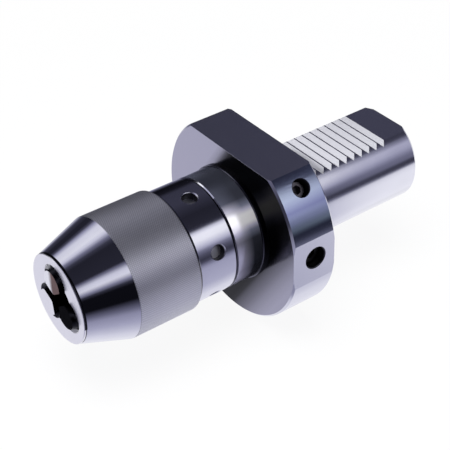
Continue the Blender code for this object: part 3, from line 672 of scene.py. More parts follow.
def make_holder_body(size, ground, shaded_drilled):
    """The shank, flange, collar and neck, turned in one, then milled and drilled."""
    seal_start, seal_end = 1.2 * MM, 5.0 * MM
    groove = 17.1 * MM
    edge = 0.4 * MM
    shank, rim, thick = size.shank_radius, size.flange_radius, size.flange_thickness
    chamfer, collar, front = size.flange_chamfer, size.collar_radius, size.collar_front
    step = thick + size.root_step
    end = -size.shank_length
    profile = [
        (size.neck_radius - edge, size.neck_front),
        (size.neck_radius, size.neck_front - edge),
        (size.neck_radius, front),
        (collar - edge, front),
        (collar, front - edge),
        (collar, step + edge),
        (collar + edge / 2, step),
        (24.0 * MM, step),
        (24.0 * MM, thick),
        (rim - chamfer, thick),
        (rim, thick - chamfer),
        (rim, chamfer),
        (rim - chamfer, 0.0),
        (shank + edge, 0.0),
        (shank, -edge),
        (shank, -seal_start),
        (groove, -seal_start),
        (groove, -seal_end),
        (shank, -seal_end),
        (shank, end + size.shank_chamfer),
        (shank - size.shank_chamfer, end),
        (size.centre_hole, end),
        (size.centre_hole / 2, end + size.centre_hole),
        (size.centre_hole / 2, end + 7.0 * MM),
        (0.0, end + 8.5 * MM),
        (0.0, 7.0 * MM),
        (13.3 * MM, 7.0 * MM),
        (13.3 * MM, size.neck_front),
    ]
    body = coat(turned("shank_and_flange", profile, 180), ground)
    cut(body, prism("teeth", serration_outline(size), 2 * size.shank_radius + 2 * MM))
    reach = rim + MM
    cut(body, block("top", (-reach, -thick - MM, size.top_flat), (reach, MM, reach)))
    cut(body, block("side", (size.side_flat, -thick - MM, -reach), (reach, MM, reach)))

    def on_flats(point):
        flange = -thick - MERGE < point.y < MERGE
        top = abs(point.z - size.top_flat) < MERGE
        side = abs(point.x - size.side_flat) < MERGE
        return flange and (top or side)

    break_edges(body, on_flats, 0.3 * MM)
    sink = size.countersink
    rim_hole = sunk_hole(size.rim_hole_radius, sink, rim - size.rim_hole_depth, rim, shaded_drilled)
    cut(body, place(rim_hole, rim_hole_place(size)))
    seat = size.side_flat
    side_hole = sunk_hole(size.side_hole_radius, sink, seat - size.side_hole_depth, seat, shaded_drilled)
    cut(body, place(side_hole, side_hole_place(size)))
    way = sunk_hole(2.5 * MM, 0.3 * MM, -size.rim_hole_station, 0.0, shaded_drilled)
    beside = outward(math.degrees(size.rim_hole_angle)) * (rim - 11.0 * MM)
    cut(body, place(way, Matrix.Translation(beside)))
    return body


def rim_hole_place(size):
    return radial(math.degrees(size.rim_hole_angle), size.rim_hole_station)


def side_hole_place(size):
    return radial(90.0, size.side_hole_station, size.side_hole_height)


def make_seal(name, radius, minor, station, steps=120, sides=20):
    """A rubber ring of round section."""
    turns = [TURN * i / sides for i in range(sides)]
    profile = [(radius + minor * math.cos(t), station + minor * math.sin(t)) for t in turns]
    return turned(name, profile, steps)


def make_plug(size, name, hole_radius, seat, matrix):
    """A socket plug sunk under its seat."""
    front, radius = seat - size.plug_recess, hole_radius - size.plug_gap
    bevel = 0.3 * MM
    profile = [
        (0.0, -front),
        (radius - bevel, -front),
        (radius, bevel - front),
        (radius, size.plug_length - front),
        (0.0, size.plug_length - front),
    ]
    plug = turned(name, profile, 48)
    bpy.ops.object.select_all(action="DESELECT")
    across = radius / math.sqrt(3)
    bpy.ops.mesh.primitive_cylinder_add(
        vertices=6,
        radius=across,
        depth=4.0 * MM,
        location=(0.0, front - 1.0 * MM, 0.0),
        rotation=(math.pi / 2, 0.0, 0.0),
    )
    socket = bpy.context.object
    bpy.ops.object.transform_apply(location=True, rotation=True, scale=True)
    cut(plug, socket)
    return place(plug, matrix)


def make_turning_ring(size, polished, shaded_drilled):
    """The ring behind the sleeve, with its spanner holes."""
    edge = 0.4 * MM
    rear, front = -RING_HIGH.y, 50.4 * MM
    profile = [
        (21.3 * MM, -RING_LOW.y),
        (22.7 * MM, -RING_LOW.y),
        (22.7 * MM, front),
        (size.ring_radius - edge, front),
        (size.ring_radius, front - edge),
        (size.ring_radius, rear + edge),
        (size.ring_radius - edge, rear),
        (16.3 * MM, rear),
        (16.3 * MM, 46.2 * MM),
        (21.3 * MM, 46.2 * MM),
    ]
    ring = coat(turned("turning_ring", profile, 180), polished)
    for i in range(size.hole_count):
        degrees = math.degrees(size.hole_angle) + 360.0 * i / size.hole_count
        bottom = size.ring_radius - size.hole_depth
        hole = sunk_hole(size.hole_radius, 0.4 * MM, bottom, size.ring_radius, shaded_drilled)
        cut(ring, place(hole, radial(degrees, size.hole_station)))
    return ring


def make_grip_sleeve(size):
    """The sleeve: a diamond knurled band and a smooth cone, hollow inside."""
    rear, front = -SLEEVE_HIGH.y, -SLEEVE_LOW.y
    chamfer, edge = 0.8 * MM, EDGE
    valley = size.sleeve_radius - size.knurl_depth
    first, last = rear + chamfer, size.knurl_front
    rows = size.knurl_rows
    band = [(valley, last + (first - last) * i / rows) for i in range(rows + 1)]
    profile = [
        (15.8 * MM, front),
        (size.cone_radius - edge, front),
        (size.cone_radius, front - edge),
        *band,
        (size.sleeve_radius - chamfer, rear),
        (23.0 * MM, rear),
        (23.0 * MM, 56.7 * MM),
        (21.6 * MM, 56.7 * MM),
        (21.6 * MM, 74.3 * MM),
        (15.8 * MM, 92.1 * MM),
    ]
    sleeve = turned("grip_sleeve", profile, size.knurl_columns)
    make_active(sleeve)
    step = (first - last) / rows
    for vertex in sleeve.data.vertices:
        station = -vertex.co.y
        row = (station - last) / step
        near = abs(row - round(row)) < 0.01 and 0 < round(row) < rows
        out = math.hypot(vertex.co.x, vertex.co.z)
        turn = math.atan2(vertex.co.x, vertex.co.z) / TURN * size.knurl_columns
        vertex.select = near and abs(out - valley) < MERGE and (round(row) + round(turn)) % 2 == 0
    for part in (sleeve.data.edges, sleeve.data.polygons):
        part.foreach_set("select", [False] * len(part))
    bpy.ops.object.mode_set(mode="EDIT")
    bpy.ops.mesh.select_mode(type="VERT")
    raised = size.sleeve_radius / valley
    bpy.ops.transform.resize(value=(raised, 1.0, raised), center_override=(0.0, 0.0, 0.0))
    bpy.ops.mesh.select_all(action="SELECT")
    bpy.ops.mesh.quads_convert_to_tris(quad_method="SHORTEST_DIAGONAL", ngon_method="BEAUTY")
    bpy.ops.object.mode_set(mode="OBJECT")
    return sleeve


def jaw_place(size, number):
    """The axis of one jaw's channel, from where it crosses the face."""
    tilt = Matrix.Rotation(size.jaw_tilt, 4, "X")
    face = Matrix.Translation((0.0, CAP_LOW.y, size.rod_offset))
    return around(math.degrees(size.first_jaw) + 120.0 * number) @ face @ tilt


def make_nose_disc(size):
    """The front cap, with its three countersunk jaw mouths."""
    face, lip, back = -CAP_LOW.y, 97.9 * MM, -CAP_HIGH.y
    edge = 0.2 * MM
    profile = [
        (size.mouth_radius, face),
        (size.cap_radius - edge, face),
        (size.cap_radius, face - edge),
        (size.cap_radius, lip),
        (15.5 * MM, lip),
        (15.5 * MM, back),
        (size.mouth_radius, back),
    ]
    disc = turned("nose_disc", profile, 144)
    channel = size.rod_radius + 0.3 * MM
    depth = size.jaw_mouth_radius - channel
    for number in range(3):
        through = [(0.0, 16.0 * MM), (channel, 16.0 * MM), (channel, -8.0 * MM), (0.0, -8.0 * MM)]
        lobe = turned("lobe", [(r, s) for r, s in through], 64)
        cut(disc, place(lobe, jaw_place(size, number)))
        sink = [
            (0.0, face + MM),
            (size.jaw_mouth_radius + MM, face + MM),
            (channel, face - depth),
            (0.0, face - depth),
        ]
        mouth = turned("mouth", sink, 64)
        degrees = math.degrees(size.first_jaw) + 120.0 * number
        cut(disc, place(mouth, Matrix.Translation(outward(degrees) * size.rod_offset)))
    return disc


def make_jaw(size, number):
    """A round rod on a tilt, with a three-cornered grip and a rear hook."""
    radius = size.rod_radius
    rear, front = -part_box(f"jaw_{number + 1}")[1].y, -CAP_LOW.y + size.jaw_stand_out
    long = 40.0 * MM
    rod = turned(
        f"chuck_jaw_{number + 1}",
        [(0.0, radius), (radius, radius), (radius, -long), (0.0, -long)],
        64,
    )
    turn = around(math.degrees(size.first_jaw) + 120.0 * number)
    place(rod, jaw_place(size, number))
    far = 16.0 * MM
    hook_front, hook_back = 72.2 * MM, 69.6 * MM
    rod_rear = 84.8 * MM
    boxes = [
        ((-far, -front - far, -far), (far, -front, far)),
        ((-far, -rod_rear, -far), (far, -rod_rear + long, 2 * far)),
    ]
    for low, high in boxes:
        cut(rod, place(block("trim", low, high), turn))
    land, grip = size.grip_land / 2, size.grip_radius
    flank = math.tan(math.radians(60.0))
    outline = [
        (-land, grip),
        (land, grip),
        (land + far, grip + far / flank),
        (land + far, -far),
        (-land - far, -far),
        (-land - far, grip + far / flank),
    ]
    sector = prism("sector", [(across, up) for across, up in outline], 60.0 * MM)
    quarter = Matrix.Rotation(math.pi / 2, 4, "Z")
    cut(rod, place(sector, turn @ Matrix.Translation((0.0, -front, 0.0)) @ quarter))
    neck = block("neck", (-1.8 * MM, -rod_rear - MM, 7.5 * MM), (1.8 * MM, -hook_back, 12.5 * MM))
    combine(rod, place(neck, turn), "UNION")
    hook = block("hook", (-3.2 * MM, -hook_front, 7.5 * MM), (3.2 * MM, -hook_back, 12.5 * MM))
    combine(rod, place(hook, turn), "UNION")
    clean_up(rod)
    return rod


# Operators


DOWN = (0.0, 0.0, -1.0)
FACE_ANGLE = 125.0
# Painted shade and reflection on the flange's front face: lightness against mm along the direction at
# FACE_ANGLE. It is light at the upper left, black across the middle beside the collar, and lighter
# again towards the lower right.
FACE_PAINTED_SHADE = (
    (-24.0, 0.88), (-21.3, 0.66), (-19.1, 0.17), (-17.5, 0.012), (-14.0, 0.004), (21.8, 0.004),
    (23.7, 0.03), (25.4, 0.165), (27.3, 0.265), (29.2, 0.36), (32.0, 0.55), (35.0, 0.7), (38.0, 0.8),
)
BLUE, VIOLET, TEAL = (0.88, 1.0, 1.2), (0.92, 1.0, 1.42), (0.8, 1.0, 0.92)
LILAC = (1.1, 1.0, 0.92)
# Painted reflection bands on the flange's round rim: lightness and hue against mm downward, tinted
# blue, violet and teal.
RIM_PAINTED_REFLECTION = (
    (-31.5, 0.9, BLUE), (-29.0, 0.5, BLUE), (-26.0, 0.68, BLUE), (-22.0, 0.52, VIOLET),
    (-18.5, 1.2, BLUE), (-16.0, 1.25, TEAL), (-14.0, 0.4, BLUE), (-6.0, 1.0),
)
# Painted highlight and shade on the fixed collar: lightness and hue against mm downward. A bright band
# lies some way below the top and the rest is dark. The front set, next to the ring, is lighter low
# down. The colour turns from it to the darker rear set towards the flange, as painted shade.
COLLAR_PAINTED_LIGHT = (
    (-23.4, 0.065), (-22.5, 0.09), (-21.4, 0.08), (-19.8, 0.09), (-17.9, 0.4), (-16.8, 1.0, LILAC),
    (-15.7, 1.6, LILAC), (-13.1, 1.6, LILAC), (-11.7, 0.9, LILAC), (-10.3, 0.38), (-7.2, 0.07),
    (-4.1, 0.06), (2.4, 0.05), (5.7, 0.03), (11.7, 0.01), (14.4, 0.04), (20.0, 0.12),
)
COLLAR_FRONT_PAINTED_LIGHT = (
    (-23.4, 0.065), (-23.1, 0.09), (-22.5, 0.15), (-21.4, 0.18), (-19.8, 0.24), (-17.9, 1.35, LILAC),
    (-16.8, 1.6, LILAC), (-11.7, 1.5, LILAC), (-10.3, 1.1, LILAC), (-8.8, 0.65, LILAC),
    (-7.2, 0.48, LILAC),
    (-4.1, 0.6, LILAC), (-0.8, 0.78, LILAC), (2.4, 0.74, LILAC), (5.7, 0.62, LILAC),
    (8.8, 0.8, LILAC), (11.7, 0.83, LILAC), (14.4, 0.37, LILAC), (16.8, 0.12),
)


class MakeBody(bpy.types.Operator):
    """Make the shank, flange and collar"""

    bl_idname = "drill_holder.make_body"
    bl_label = "Shank and Flange"

    def execute(self, context):
        size, colour = sizes(), colours()
        ground = metal_finish("ground_steel", colour.ground, 0.13, lines=0.12)
        milled = milled_finish("milled_steel", colour.milled, 0.24, 0.2)
        toothed = milled_finish("toothed_steel", colour.toothed, 0.2, 0.3)
        # Near black hole walls: painted shade inside the holes in the flange.
        shaded_drilled = plain_finish("drilled_steel", colour.shaded_drilled, 0.38, 1.0)
        body = make_holder_body(size, ground, shaded_drilled)
        dress(body, "holder", "ground_steel", "holder_body")
        flats = (size.top_flat, size.side_flat)

        def is_milled(middle, normal):
            flange = -size.flange_thickness < middle.y < 0.0
            top = normal.z > 0.99 and abs(middle.z - flats[0]) < 0.1 * MM
            side = normal.x > 0.99 and abs(middle.x - flats[1]) < 0.1 * MM
            return (flange and (top or side)) or (on_teeth(middle) and normal.z > 0.99)

        def is_toothed(middle, normal):
            return on_teeth(middle) and normal.z < 0.99

        def on_teeth(middle):
            inside = math.hypot(middle.x, middle.z) < size.shank_radius - 0.1 * MM
            along = 5.0 * MM < middle.y < size.shank_length - 0.1 * MM
            return inside and along and middle.z > 13.0 * MM

        paint_faces(body, milled, is_milled)
        paint_faces(body, toothed, is_toothed)
        # Painted light: painted shade on the flange's face, painted reflection bands on the rim, and a
        # painted highlight with painted shade on the collar.
        faced_painted_shade = painted_light_finish("faced_steel", colour.faced_painted_shade, 0.14, outward(FACE_ANGLE), FACE_PAINTED_SHADE)
        rim = painted_light_finish("rim_painted_reflection_steel", colour.ground, 0.13, DOWN, RIM_PAINTED_REFLECTION)
        front = (COLLAR_FRONT_PAINTED_LIGHT, size.flange_thickness + 5.3 * MM, size.collar_front - 1.5 * MM)
        collar = painted_light_finish("collar_painted_light_steel", colour.collar, 0.13, DOWN, COLLAR_PAINTED_LIGHT, front)
        # Less metal and no specular layer, so that the painted highlight shows as lit colour.
        set_shader(collar, "Metallic", 0.55)
        set_shader(collar, "Specular IOR Level", 0.0)
        set_shader(toothed, "Metallic", 0.7)

        def is_faced(middle, normal):
            near = abs(middle.y + size.flange_thickness) < 0.1 * MM
            return normal.y < -0.99 and near and math.hypot(middle.x, middle.z) > 24.0 * MM

        def is_rim(middle, normal):
            away = math.hypot(middle.x, middle.z)
            return abs(normal.y) < 0.1 and away > size.flange_radius - 0.1 * MM

        def is_collar(middle, normal):
            away, station = math.hypot(middle.x, middle.z), -middle.y
            along = size.flange_thickness + size.root_step < station < size.collar_front
            return abs(normal.y) < 0.1 and along and abs(away - size.collar_radius) < 0.1 * MM

        paint_faces(body, faced_painted_shade, is_faced)
        paint_faces(body, rim, is_rim)
        paint_faces(body, collar, is_collar)
        # Painted shade: the step at the collar's root, and the collar's front bevel on the +X side, are
        # dark as if in shadow.
        root = metal_finish("root_painted_shade_steel", colour.root, 0.25)

        def at_root_painted_shade(middle, normal):
            away, station = math.hypot(middle.x, middle.z), -middle.y
            near = size.flange_thickness < station < size.flange_thickness + size.root_step + 0.5 * MM
            at_step = near and size.collar_radius + 0.01 * MM < away < 24.1 * MM
            at_front = station > size.collar_front - 0.5 * MM and away > size.collar_radius - 0.5 * MM
            return at_step or (at_front and normal.y < -0.3 and middle.x > 9.0 * MM)

        paint_faces(body, root, at_root_painted_shade)
        return {"FINISHED"}


class MakeSeal(bpy.types.Operator):
    """Make the seal at the root of the shank"""

    bl_idname = "drill_holder.make_seal"
    bl_label = "Shank Seal"

    def execute(self, context):
        station = -(SEAL_LOW.y + SEAL_HIGH.y) / 2
        minor = 1.55 * MM
        seal = make_seal("shank_seal", 18.95 * MM, minor, station)
        rubber = plain_finish("rubber", colours().rubber, 0.55, 0.0, 900.0)
        dress(coat(seal, rubber), "holder", "rubber", "shank_o_ring")
        return {"FINISHED"}


class MakePlugs(bpy.types.Operator):
    """Make the two socket plugs in the flange"""

    bl_idname = "drill_holder.make_plugs"
    bl_label = "Socket Plugs"

    def execute(self, context):
        size = sizes()
        grey = plain_finish("rim_plug_steel", colours().rim_plug, 0.38, 1.0)
        black = plain_finish("side_plug_steel", colours().side_plug, 0.38, 1.0)
        seat, where = size.flange_radius, rim_hole_place(size)
        rim = make_plug(size, "rim_socket_plug", size.rim_hole_radius, seat, where)
        dress(coat(rim, grey), "holder", "black_steel", "rim_plug_screw")
        seat, where = size.side_flat, side_hole_place(size)
        side = make_plug(size, "side_socket_plug", size.side_hole_radius, seat, where)
        dress(coat(side, black), "holder", "black_steel", "side_plug_screw")
        return {"FINISHED"}


class MakeRing(bpy.types.Operator):
    """Make the turning ring with the spanner holes"""

    bl_idname = "drill_holder.make_ring"
    bl_label = "Turning Ring"

    def execute(self, context):
        polished = metal_finish("polished_steel", colours().ground, 0.10, lines=0.06)
        # Near black walls: painted shade inside the spanner holes.
        shaded_drilled = plain_finish("spanner_hole_painted_shade", colours().shaded_drilled, 0.34, 1.0)
        size = chuck()
        ring = make_turning_ring(size, polished, shaded_drilled)
        dress(ring, "sleeve", "polished_steel", "spanner_ring")
        # Painted shade: the ring's rear edge is black, to darken the gap to the collar.
        black = plain_finish("ring_rear_painted_shade", colours().black, 0.38, 1.0)
        floor = size.ring_radius - size.hole_depth

        def at_rear_edge_shade(middle, normal):
            return normal.y > 0.3 and math.hypot(middle.x, middle.z) > size.ring_radius - 1.0 * MM

        def at_lit_floor(middle, normal):
            in_ring = -50.0 * MM < middle.y < -34.5 * MM
            return in_ring and floor - 0.5 * MM < math.hypot(middle.x, middle.z) < floor + 0.1 * MM

        paint_faces(ring, black, at_rear_edge_shade)
        # Painted light: the floors of the spanner holes are near white, so that they read as lit.
        painted_pale = plain_finish("hole_floor_steel", colours().hole_floor_painted_light, 0.5, 1.0)
        paint_faces(ring, painted_pale, at_lit_floor)

        def at_mouth(middle, normal):
            away = math.hypot(middle.x, middle.z)
            level = (normal.x * middle.x + normal.z * middle.z) / away
            edge = size.ring_radius - 0.45 * MM < away < size.ring_radius
            return edge and 0.3 < level < 0.95 and abs(middle.y + size.hole_station) < 4.0 * MM

        edge = metal_finish("hole_edge_steel", colours().ground, 0.3)
        paint_faces(ring, edge, at_mouth)
        return {"FINISHED"}


class MakeSleeve(bpy.types.Operator):
    """Make the knurled sleeve with its cone"""

    bl_idname = "drill_holder.make_sleeve"
    bl_label = "Grip Sleeve"

    def execute(self, context):
        size = chuck()
        sleeve = make_grip_sleeve(size)
        cone = metal_finish("cone_steel", colours().ground, 0.07, lines=0.03)
        dress(coat(sleeve, cone), "sleeve", "polished_steel", "knurled_sleeve")
        knurl = knurl_finish(
            "knurled_steel", colours().knurled, size.sleeve_radius, size.knurl_depth
        )

        set_shader(knurl, "Metallic", 0.92)

        def on_band(middle, normal):
            out = math.hypot(middle.x, middle.z)
            inner = size.sleeve_radius - size.knurl_depth - 0.05 * MM
            return out > inner and -middle.y < size.knurl_front - 0.1 * MM

        paint_faces(sleeve, knurl, on_band)
        # Painted shade: the sleeve's front edge, apart from low down, and its rear chamfer are black,
        # as dark gap lines at the nose cap and the ring.
        black = plain_finish("sleeve_edge_painted_shade", colours().black, 0.38, 1.0)

        def on_shaded_edges(middle, normal):
            away, station = math.hypot(middle.x, middle.z), -middle.y
            front = station > -SLEEVE_LOW.y - EDGE and middle.z > SHADE_LINE_END
            rear = station < -SLEEVE_HIGH.y + 0.7 * MM
            return (front and away > size.cap_radius - 1.0 * MM) or (rear and away > 23.5 * MM)

        paint_faces(sleeve, black, on_shaded_edges)
        return {"FINISHED"}


class MakeNose(bpy.types.Operator):
    """Make the nose cap with the jaw mouths"""

    bl_idname = "drill_holder.make_nose"
    bl_label = "Nose Cap"

    def execute(self, context):
        size = chuck()
        disc = make_nose_disc(size)
        face = metal_finish("nose_steel", colours().nose, 0.30, lines=0.35)
        dress(coat(disc, face), "sleeve", "polished_steel", "nose_cap")
        # Painted shade: every face of the nose cap that does not face forward is black, such as the
        # mouths' walls and slopes and the back, and so is its rim except low down.
        black = plain_finish("nose_painted_shade", colours().black, 0.38, 1.0)

        def in_painted_shade(middle, normal):
            away = math.hypot(middle.x, middle.z)
            lip = away > size.cap_radius - 0.05 * MM and middle.z < SHADE_LINE_END
            return normal.y > (-0.95 if away < 16.0 * MM else -0.3) and not lip

        paint_faces(disc, black, in_painted_shade)
        # Painted light: the countersink crescents away from the third jaw are near white and matt, so
        # that they read as lit like the face.
        mouth = plain_finish("mouth_painted_light", colours().mouth, 0.6, 0.0)
        third = outward(math.degrees(size.first_jaw) + 240.0)

        def at_mouth(middle, normal):
            slope, away = -0.95 < normal.y < -0.3, math.hypot(middle.x, middle.z)
            return slope and 12.0 * MM < away < 16.0 * MM and middle.dot(third) < 0.0

        paint_faces(disc, mouth, at_mouth)
        return {"FINISHED"}


class MakeJaws(bpy.types.Operator):
    """Make the three jaws"""

    bl_idname = "drill_holder.make_jaws"
    bl_label = "Jaws"

    def execute(self, context):
        # The jaws are near black: painted shade on their sides inside the mouths.
        steel = metal_finish("jaw_steel", colours().jaw, 0.30, lines=0.15)
        # Painted light and shade: the jaws' ends get lit and shaded copies of one end finish. The first
        # is bright with a brown side, the second near black, and the third light like the cap.
        bright = jaw_end_finish("jaw_end_steel", colours().jaw_end_painted_highlight, colours().jaw_brown_side)
        painted_pale = metal_finish("pale_jaw_steel", colours().nose, 0.30, lines=0.1)
        dark = plain_finish("shaded_jaw_tip", [c * 0.3 for c in colours().jaw], 0.6, 0.0)
        set_shader(dark, "Specular IOR Level", 0.0)
        ends = (bright, dark, painted_pale)
        for number in range(3):
            jaw = make_jaw(chuck(), number)
            dress(coat(jaw, steel), f"jaw_{number + 1}", "jaw_steel", f"jaw_{number + 1}")
            paint_faces(jaw, ends[number], lambda middle, normal: normal.y < -0.95)
        return {"FINISHED"}


class FinishInnerParts(bpy.types.Operator):
    """Give the parts inside the chuck their finishes"""

    bl_idname = "drill_holder.finish_inner_parts"
    bl_label = "Inner Parts"

    def execute(self, context):
        colour = colours()
        finishes = {
            "black": metal_finish("inner_black_steel", colour.black, 0.35, lines=0.1),
            "bright": metal_finish("bearing_steel", colour.ground, 0.12, lines=0.05),
            "brass": metal_finish("brass", colour.brass, 0.28, lines=0.1),
            "rubber": plain_finish("inner_rubber", colour.rubber, 0.6, 0.0, 900.0),
        }
        bright = ("front_race", "rear_race", "nut_lock_pin", "bearing_ball")
        kinds = {"rubber": ("neck_o_ring",), "brass": ("ball_cage", "spindle_nut"), "bright": bright}
        for name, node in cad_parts.items():
            if node.hide_render:
                continue
            kind = next((k for k, names in kinds.items() if name.startswith(names)), "black")
            node.data.materials.clear()
            node.data.materials.append(finishes[kind])
        return {"FINISHED"}


class MakeStage(bpy.types.Operator):
    """Make the floor, the lamps and the camera"""

    bl_idname = "drill_holder.make_stage"
    bl_label = "Studio"

    def execute(self, context):
        make_floor()
        make_lamps()
        make_world()
        make_camera()
        bpy.context.scene.view_settings.view_transform = "Standard"
        return {"FINISHED"}


# Stage

FLOOR_REACH = 0.45
FLOOR_HEIGHT = CAD_BOX[0].z - 0.2 * MM


def make_floor():
    start_fresh()
    bpy.ops.mesh.primitive_plane_add(size=2 * FLOOR_REACH, location=(0.0, 0.0, FLOOR_HEIGHT))
    floor = bpy.context.object
    floor.name = "floor"
    material = bpy.data.materials.new("floor")
    material.use_nodes = True
    tree = material.node_tree
    shader = tree.nodes["Principled BSDF"]
    coordinates = tree.nodes.new("ShaderNodeTexCoord").outputs["Object"]
    cloud = noise(tree, coordinates, 6.0, 3.0)
    tree.links.new(tinted(tree, colours().floor, 0.99, 1.01, cloud), shader.inputs["Base Color"])
    shader.inputs["Roughness"].default_value = 0.9
    white = add_node(tree, "ShaderNodeEmission", Color=(1.0, 1.0, 1.0, 1.0), Strength=1.0)
    light_path = tree.nodes.new("ShaderNodeLightPath")
    away = add_node(tree, "ShaderNodeVectorMath", operation="LENGTH", Vector=coordinates)
    edge = spread(tree, away.outputs["Value"], 0.92, 1.0, 0.1, 0.8 * FLOOR_REACH)
    seen = maths(tree, "MULTIPLY", light_path.outputs["Is Camera Ray"], edge)
    mix = tree.nodes.new("ShaderNodeMixShader")
    tree.links.new(seen, mix.inputs[0])
    tree.links.new(shader.outputs[0], mix.inputs[1])
    tree.links.new(white.outputs[0], mix.inputs[2])
    tree.links.new(mix.outputs[0], tree.nodes["Material Output"].inputs["Surface"])
    floor.data.materials.append(material)
    floor.visible_glossy = False


def add_lamp(name, location, size, power):
    """A soft rectangular lamp that points at the object."""
    lamp = bpy.data.lights.new(name, "AREA")
    lamp.shape = "RECTANGLE"
    lamp.size, lamp.size_y = size
    lamp.energy = power
    obj = bpy.data.objects.new(name, lamp)
    bpy.context.scene.collection.objects.link(obj)
    obj.location = location
    obj.rotation_mode = "QUATERNION"
    obj.rotation_quaternion = (-Vector(location)).to_track_quat("-Z", "Y")
    return obj


def make_lamps():
    lamp = add_lamp("overhead", (0.10, -0.15, 0.80), (0.6, 0.6), 9.0)
    lamp.visible_glossy = False


# The studio round the object, as brightness against the angle round the tool axis: in front of
# the object, level with it, and behind it. Dark stands between the soft boxes give steel its bands.
AHEAD_BANDS = (
    (-180, 0.6), (-110, 0.5), (-60, 0.5), (-15, 0.5), (20, 0.15), (60, 0.05), (90, 0.05), (120, 0.4),
    (180, 0.6),
)
LOW_BANDS = (
    (-180, 0.5), (-140, 0.5), (-100, 0.5), (-80, 1.0), (-68, 1.5), (-30, 1.5), (-12, 0.5),
    (5, 0.05), (20, 0.01), (100, 0.01), (120, 0.2), (180, 0.5),
)
NEAR_BANDS = (
    (-180, 0.35), (-160, 0.2), (-148, 0.6), (-140, 0.7), (-118, 0.7), (-108, 0.15), (-100, 0.01),
    (130, 0.01), (150, 0.3), (180, 0.35),
)
FRONT_BANDS = (
    (-180, 0.85), (-155, 1.0), (-112, 0.9), (-103, 0.2), (-96, 0.06), (-80, 0.02), (-68, 0.02),
    (-61, 0.08), (-55, 0.4), (-46, 0.85), (-31, 0.95), (-24, 0.75), (-16, 0.22), (-8, 0.05),
    (0, 0.02), (35, 0.025), (40, 0.2), (48, 0.8), (56, 0.9), (64, 0.3), (70, 0.04), (76, 0.005),
    (103, 0.005), (109, 0.05), (119, 0.16), (130, 0.35), (150, 0.5), (180, 0.85),
)
LEVEL_BANDS = (
    (-180, 0.9), (-150, 0.9), (-112, 0.25), (-100, 0.05), (-91, 0.004), (-70, 0.01), (-59, 0.045),
    (-26, 0.05), (-10, 0.035), (7, 0.02), (31, 0.025), (37, 0.06), (42, 0.8), (48, 1.15),
    (58, 1.1), (66, 0.8), (72, 0.55), (78, 0.2), (85, 0.11), (94, 0.05), (100, 0.08), (106, 0.25),
    (114, 0.45), (130, 0.5), (150, 0.55), (180, 0.9),
)
REAR_BANDS = (
    (-180, 1.0), (-150, 1.0), (-112, 0.3), (-100, 0.06), (-60, 0.07), (15, 0.07), (31, 0.05),
    (38, 0.10), (46, 0.30), (52, 0.5), (64, 0.45), (74, 0.3), (82, 0.2), (90, 0.18), (94, 0.07),
    (97, 0.05), (103, 0.05), (107, 0.2), (111, 0.95), (125, 1.1), (180, 1.1),
)
STRENGTH = 1.0


def band_ramp(tree, value, bands):
    """A colour ramp over the turn from -180 to 180 degrees; the darker, the cooler."""
    ramp = tree.nodes.new("ShaderNodeValToRGB")
    tree.links.new(value, ramp.inputs["Fac"])
    elements = ramp.color_ramp.elements
    for i, (degrees, bright) in enumerate(bands):
        spot = (degrees + 180.0) / 360.0
        element = elements[i] if i < 2 else elements.new(spot)
        element.position = spot
        cool = bright * (1.03 + 0.5 * max(0.0, 1.0 - bright))
        element.color = (bright, bright, cool, 1.0)
    return ramp.outputs["Color"]


def make_world():
    world = bpy.data.worlds.new("studio")
    bpy.context.scene.world = world
    world.use_nodes = True
    tree = world.node_tree
    direction = tree.nodes.new("ShaderNodeTexCoord").outputs["Generated"]
    parts = add_node(tree, "ShaderNodeSeparateXYZ", Vector=direction)
    turn = maths(tree, "ARCTAN2", parts.outputs["X"], parts.outputs["Z"])
    turn = spread(tree, turn, 0.0, 1.0, -math.pi, math.pi)
    along = parts.outputs["Y"]
    all_round = band_ramp(tree, turn, AHEAD_BANDS)
    zones = (
        (LOW_BANDS, -0.64, -0.60),
        (NEAR_BANDS, -0.53, -0.51),
        (FRONT_BANDS, -0.38, -0.30),
        (LEVEL_BANDS, 0.10, 0.35),
        (REAR_BANDS, 0.52, 0.56),
    )
    for bands, start, end in zones:
        reached = spread(tree, along, 0.0, 1.0, start, end)
        all_round = blend_colours(tree, reached, all_round, band_ramp(tree, turn, bands))
    background = tree.nodes["Background"]
    tree.links.new(all_round, background.inputs["Color"])
    background.inputs["Strength"].default_value = STRENGTH
    white = add_node(tree, "ShaderNodeBackground", Color=(1.0, 1.0, 1.0, 1.0), Strength=1.0)
    light_path = tree.nodes.new("ShaderNodeLightPath")
    mix = tree.nodes.new("ShaderNodeMixShader")
    tree.links.new(light_path.outputs["Is Camera Ray"], mix.inputs[0])
    tree.links.new(background.outputs[0], mix.inputs[1])
    tree.links.new(white.outputs[0], mix.inputs[2])
    tree.links.new(mix.outputs[0], tree.nodes["World Output"].inputs["Surface"])


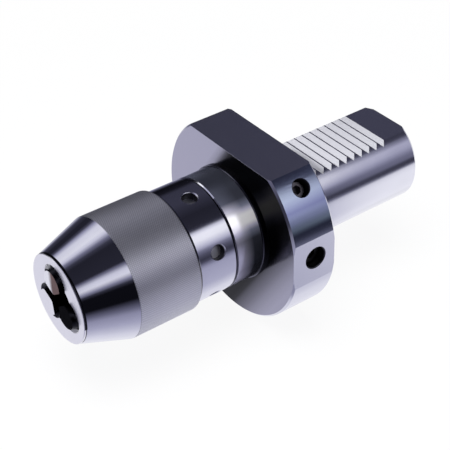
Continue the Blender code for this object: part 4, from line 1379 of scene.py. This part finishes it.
CAMERA_PLACE = (0.33159, -0.25722, 0.29616)
CAMERA_RIGHT = (0.59366603, 0.80426029, -0.02694509)
CAMERA_UP = (-0.46210233, 0.36813204, 0.80680867)
CAMERA_BACK = (0.65880352, -0.46652351, 0.59019804)
CAMERA_LENS = 101.6


def make_camera():
    data = bpy.data.cameras.new("camera")
    data.lens = CAMERA_LENS
    data.sensor_width = 36.0
    data.clip_start, data.clip_end = 0.01, 20.0
    camera = bpy.data.objects.new("camera", data)
    bpy.context.scene.collection.objects.link(camera)
    turn = Matrix((CAMERA_RIGHT, CAMERA_UP, CAMERA_BACK)).transposed().to_4x4()
    camera.matrix_world = Matrix.Translation(CAMERA_PLACE) @ turn
    bpy.context.scene.camera = camera


OPERATORS = (
    MakeBody,
    MakeSeal,
    MakePlugs,
    MakeRing,
    MakeSleeve,
    MakeNose,
    MakeJaws,
    FinishInnerParts,
    MakeStage,
)


class HolderPanel(bpy.types.Panel):
    """Lists the pieces of the drill holder"""

    bl_idname = "VIEW3D_PT_drill_holder"
    bl_label = "Drill Holder"
    bl_space_type = "VIEW_3D"
    bl_region_type = "UI"
    bl_category = "Drill Holder"

    def draw(self, context):
        for operator in OPERATORS:
            self.layout.operator(operator.bl_idname)


CLASSES = (HolderSizes, ChuckSizes, FinishColours, *OPERATORS, HolderPanel)


def register():
    for cls in CLASSES:
        bpy.utils.register_class(cls)
    bpy.types.Scene.drill_holder_sizes = PointerProperty(type=HolderSizes)
    bpy.types.Scene.drill_holder_chuck = PointerProperty(type=ChuckSizes)
    bpy.types.Scene.drill_holder_colours = PointerProperty(type=FinishColours)


def unregister():
    del bpy.types.Scene.drill_holder_colours
    del bpy.types.Scene.drill_holder_chuck
    del bpy.types.Scene.drill_holder_sizes
    for cls in reversed(CLASSES):
        bpy.utils.unregister_class(cls)


def main():
    register()
    bpy.ops.drill_holder.make_body()
    bpy.ops.drill_holder.make_seal()
    bpy.ops.drill_holder.make_plugs()
    bpy.ops.drill_holder.make_ring()
    bpy.ops.drill_holder.make_sleeve()
    bpy.ops.drill_holder.make_nose()
    bpy.ops.drill_holder.make_jaws()
    bpy.ops.drill_holder.finish_inner_parts()
    bpy.ops.drill_holder.make_stage()


if __name__ == "__main__":
    main()
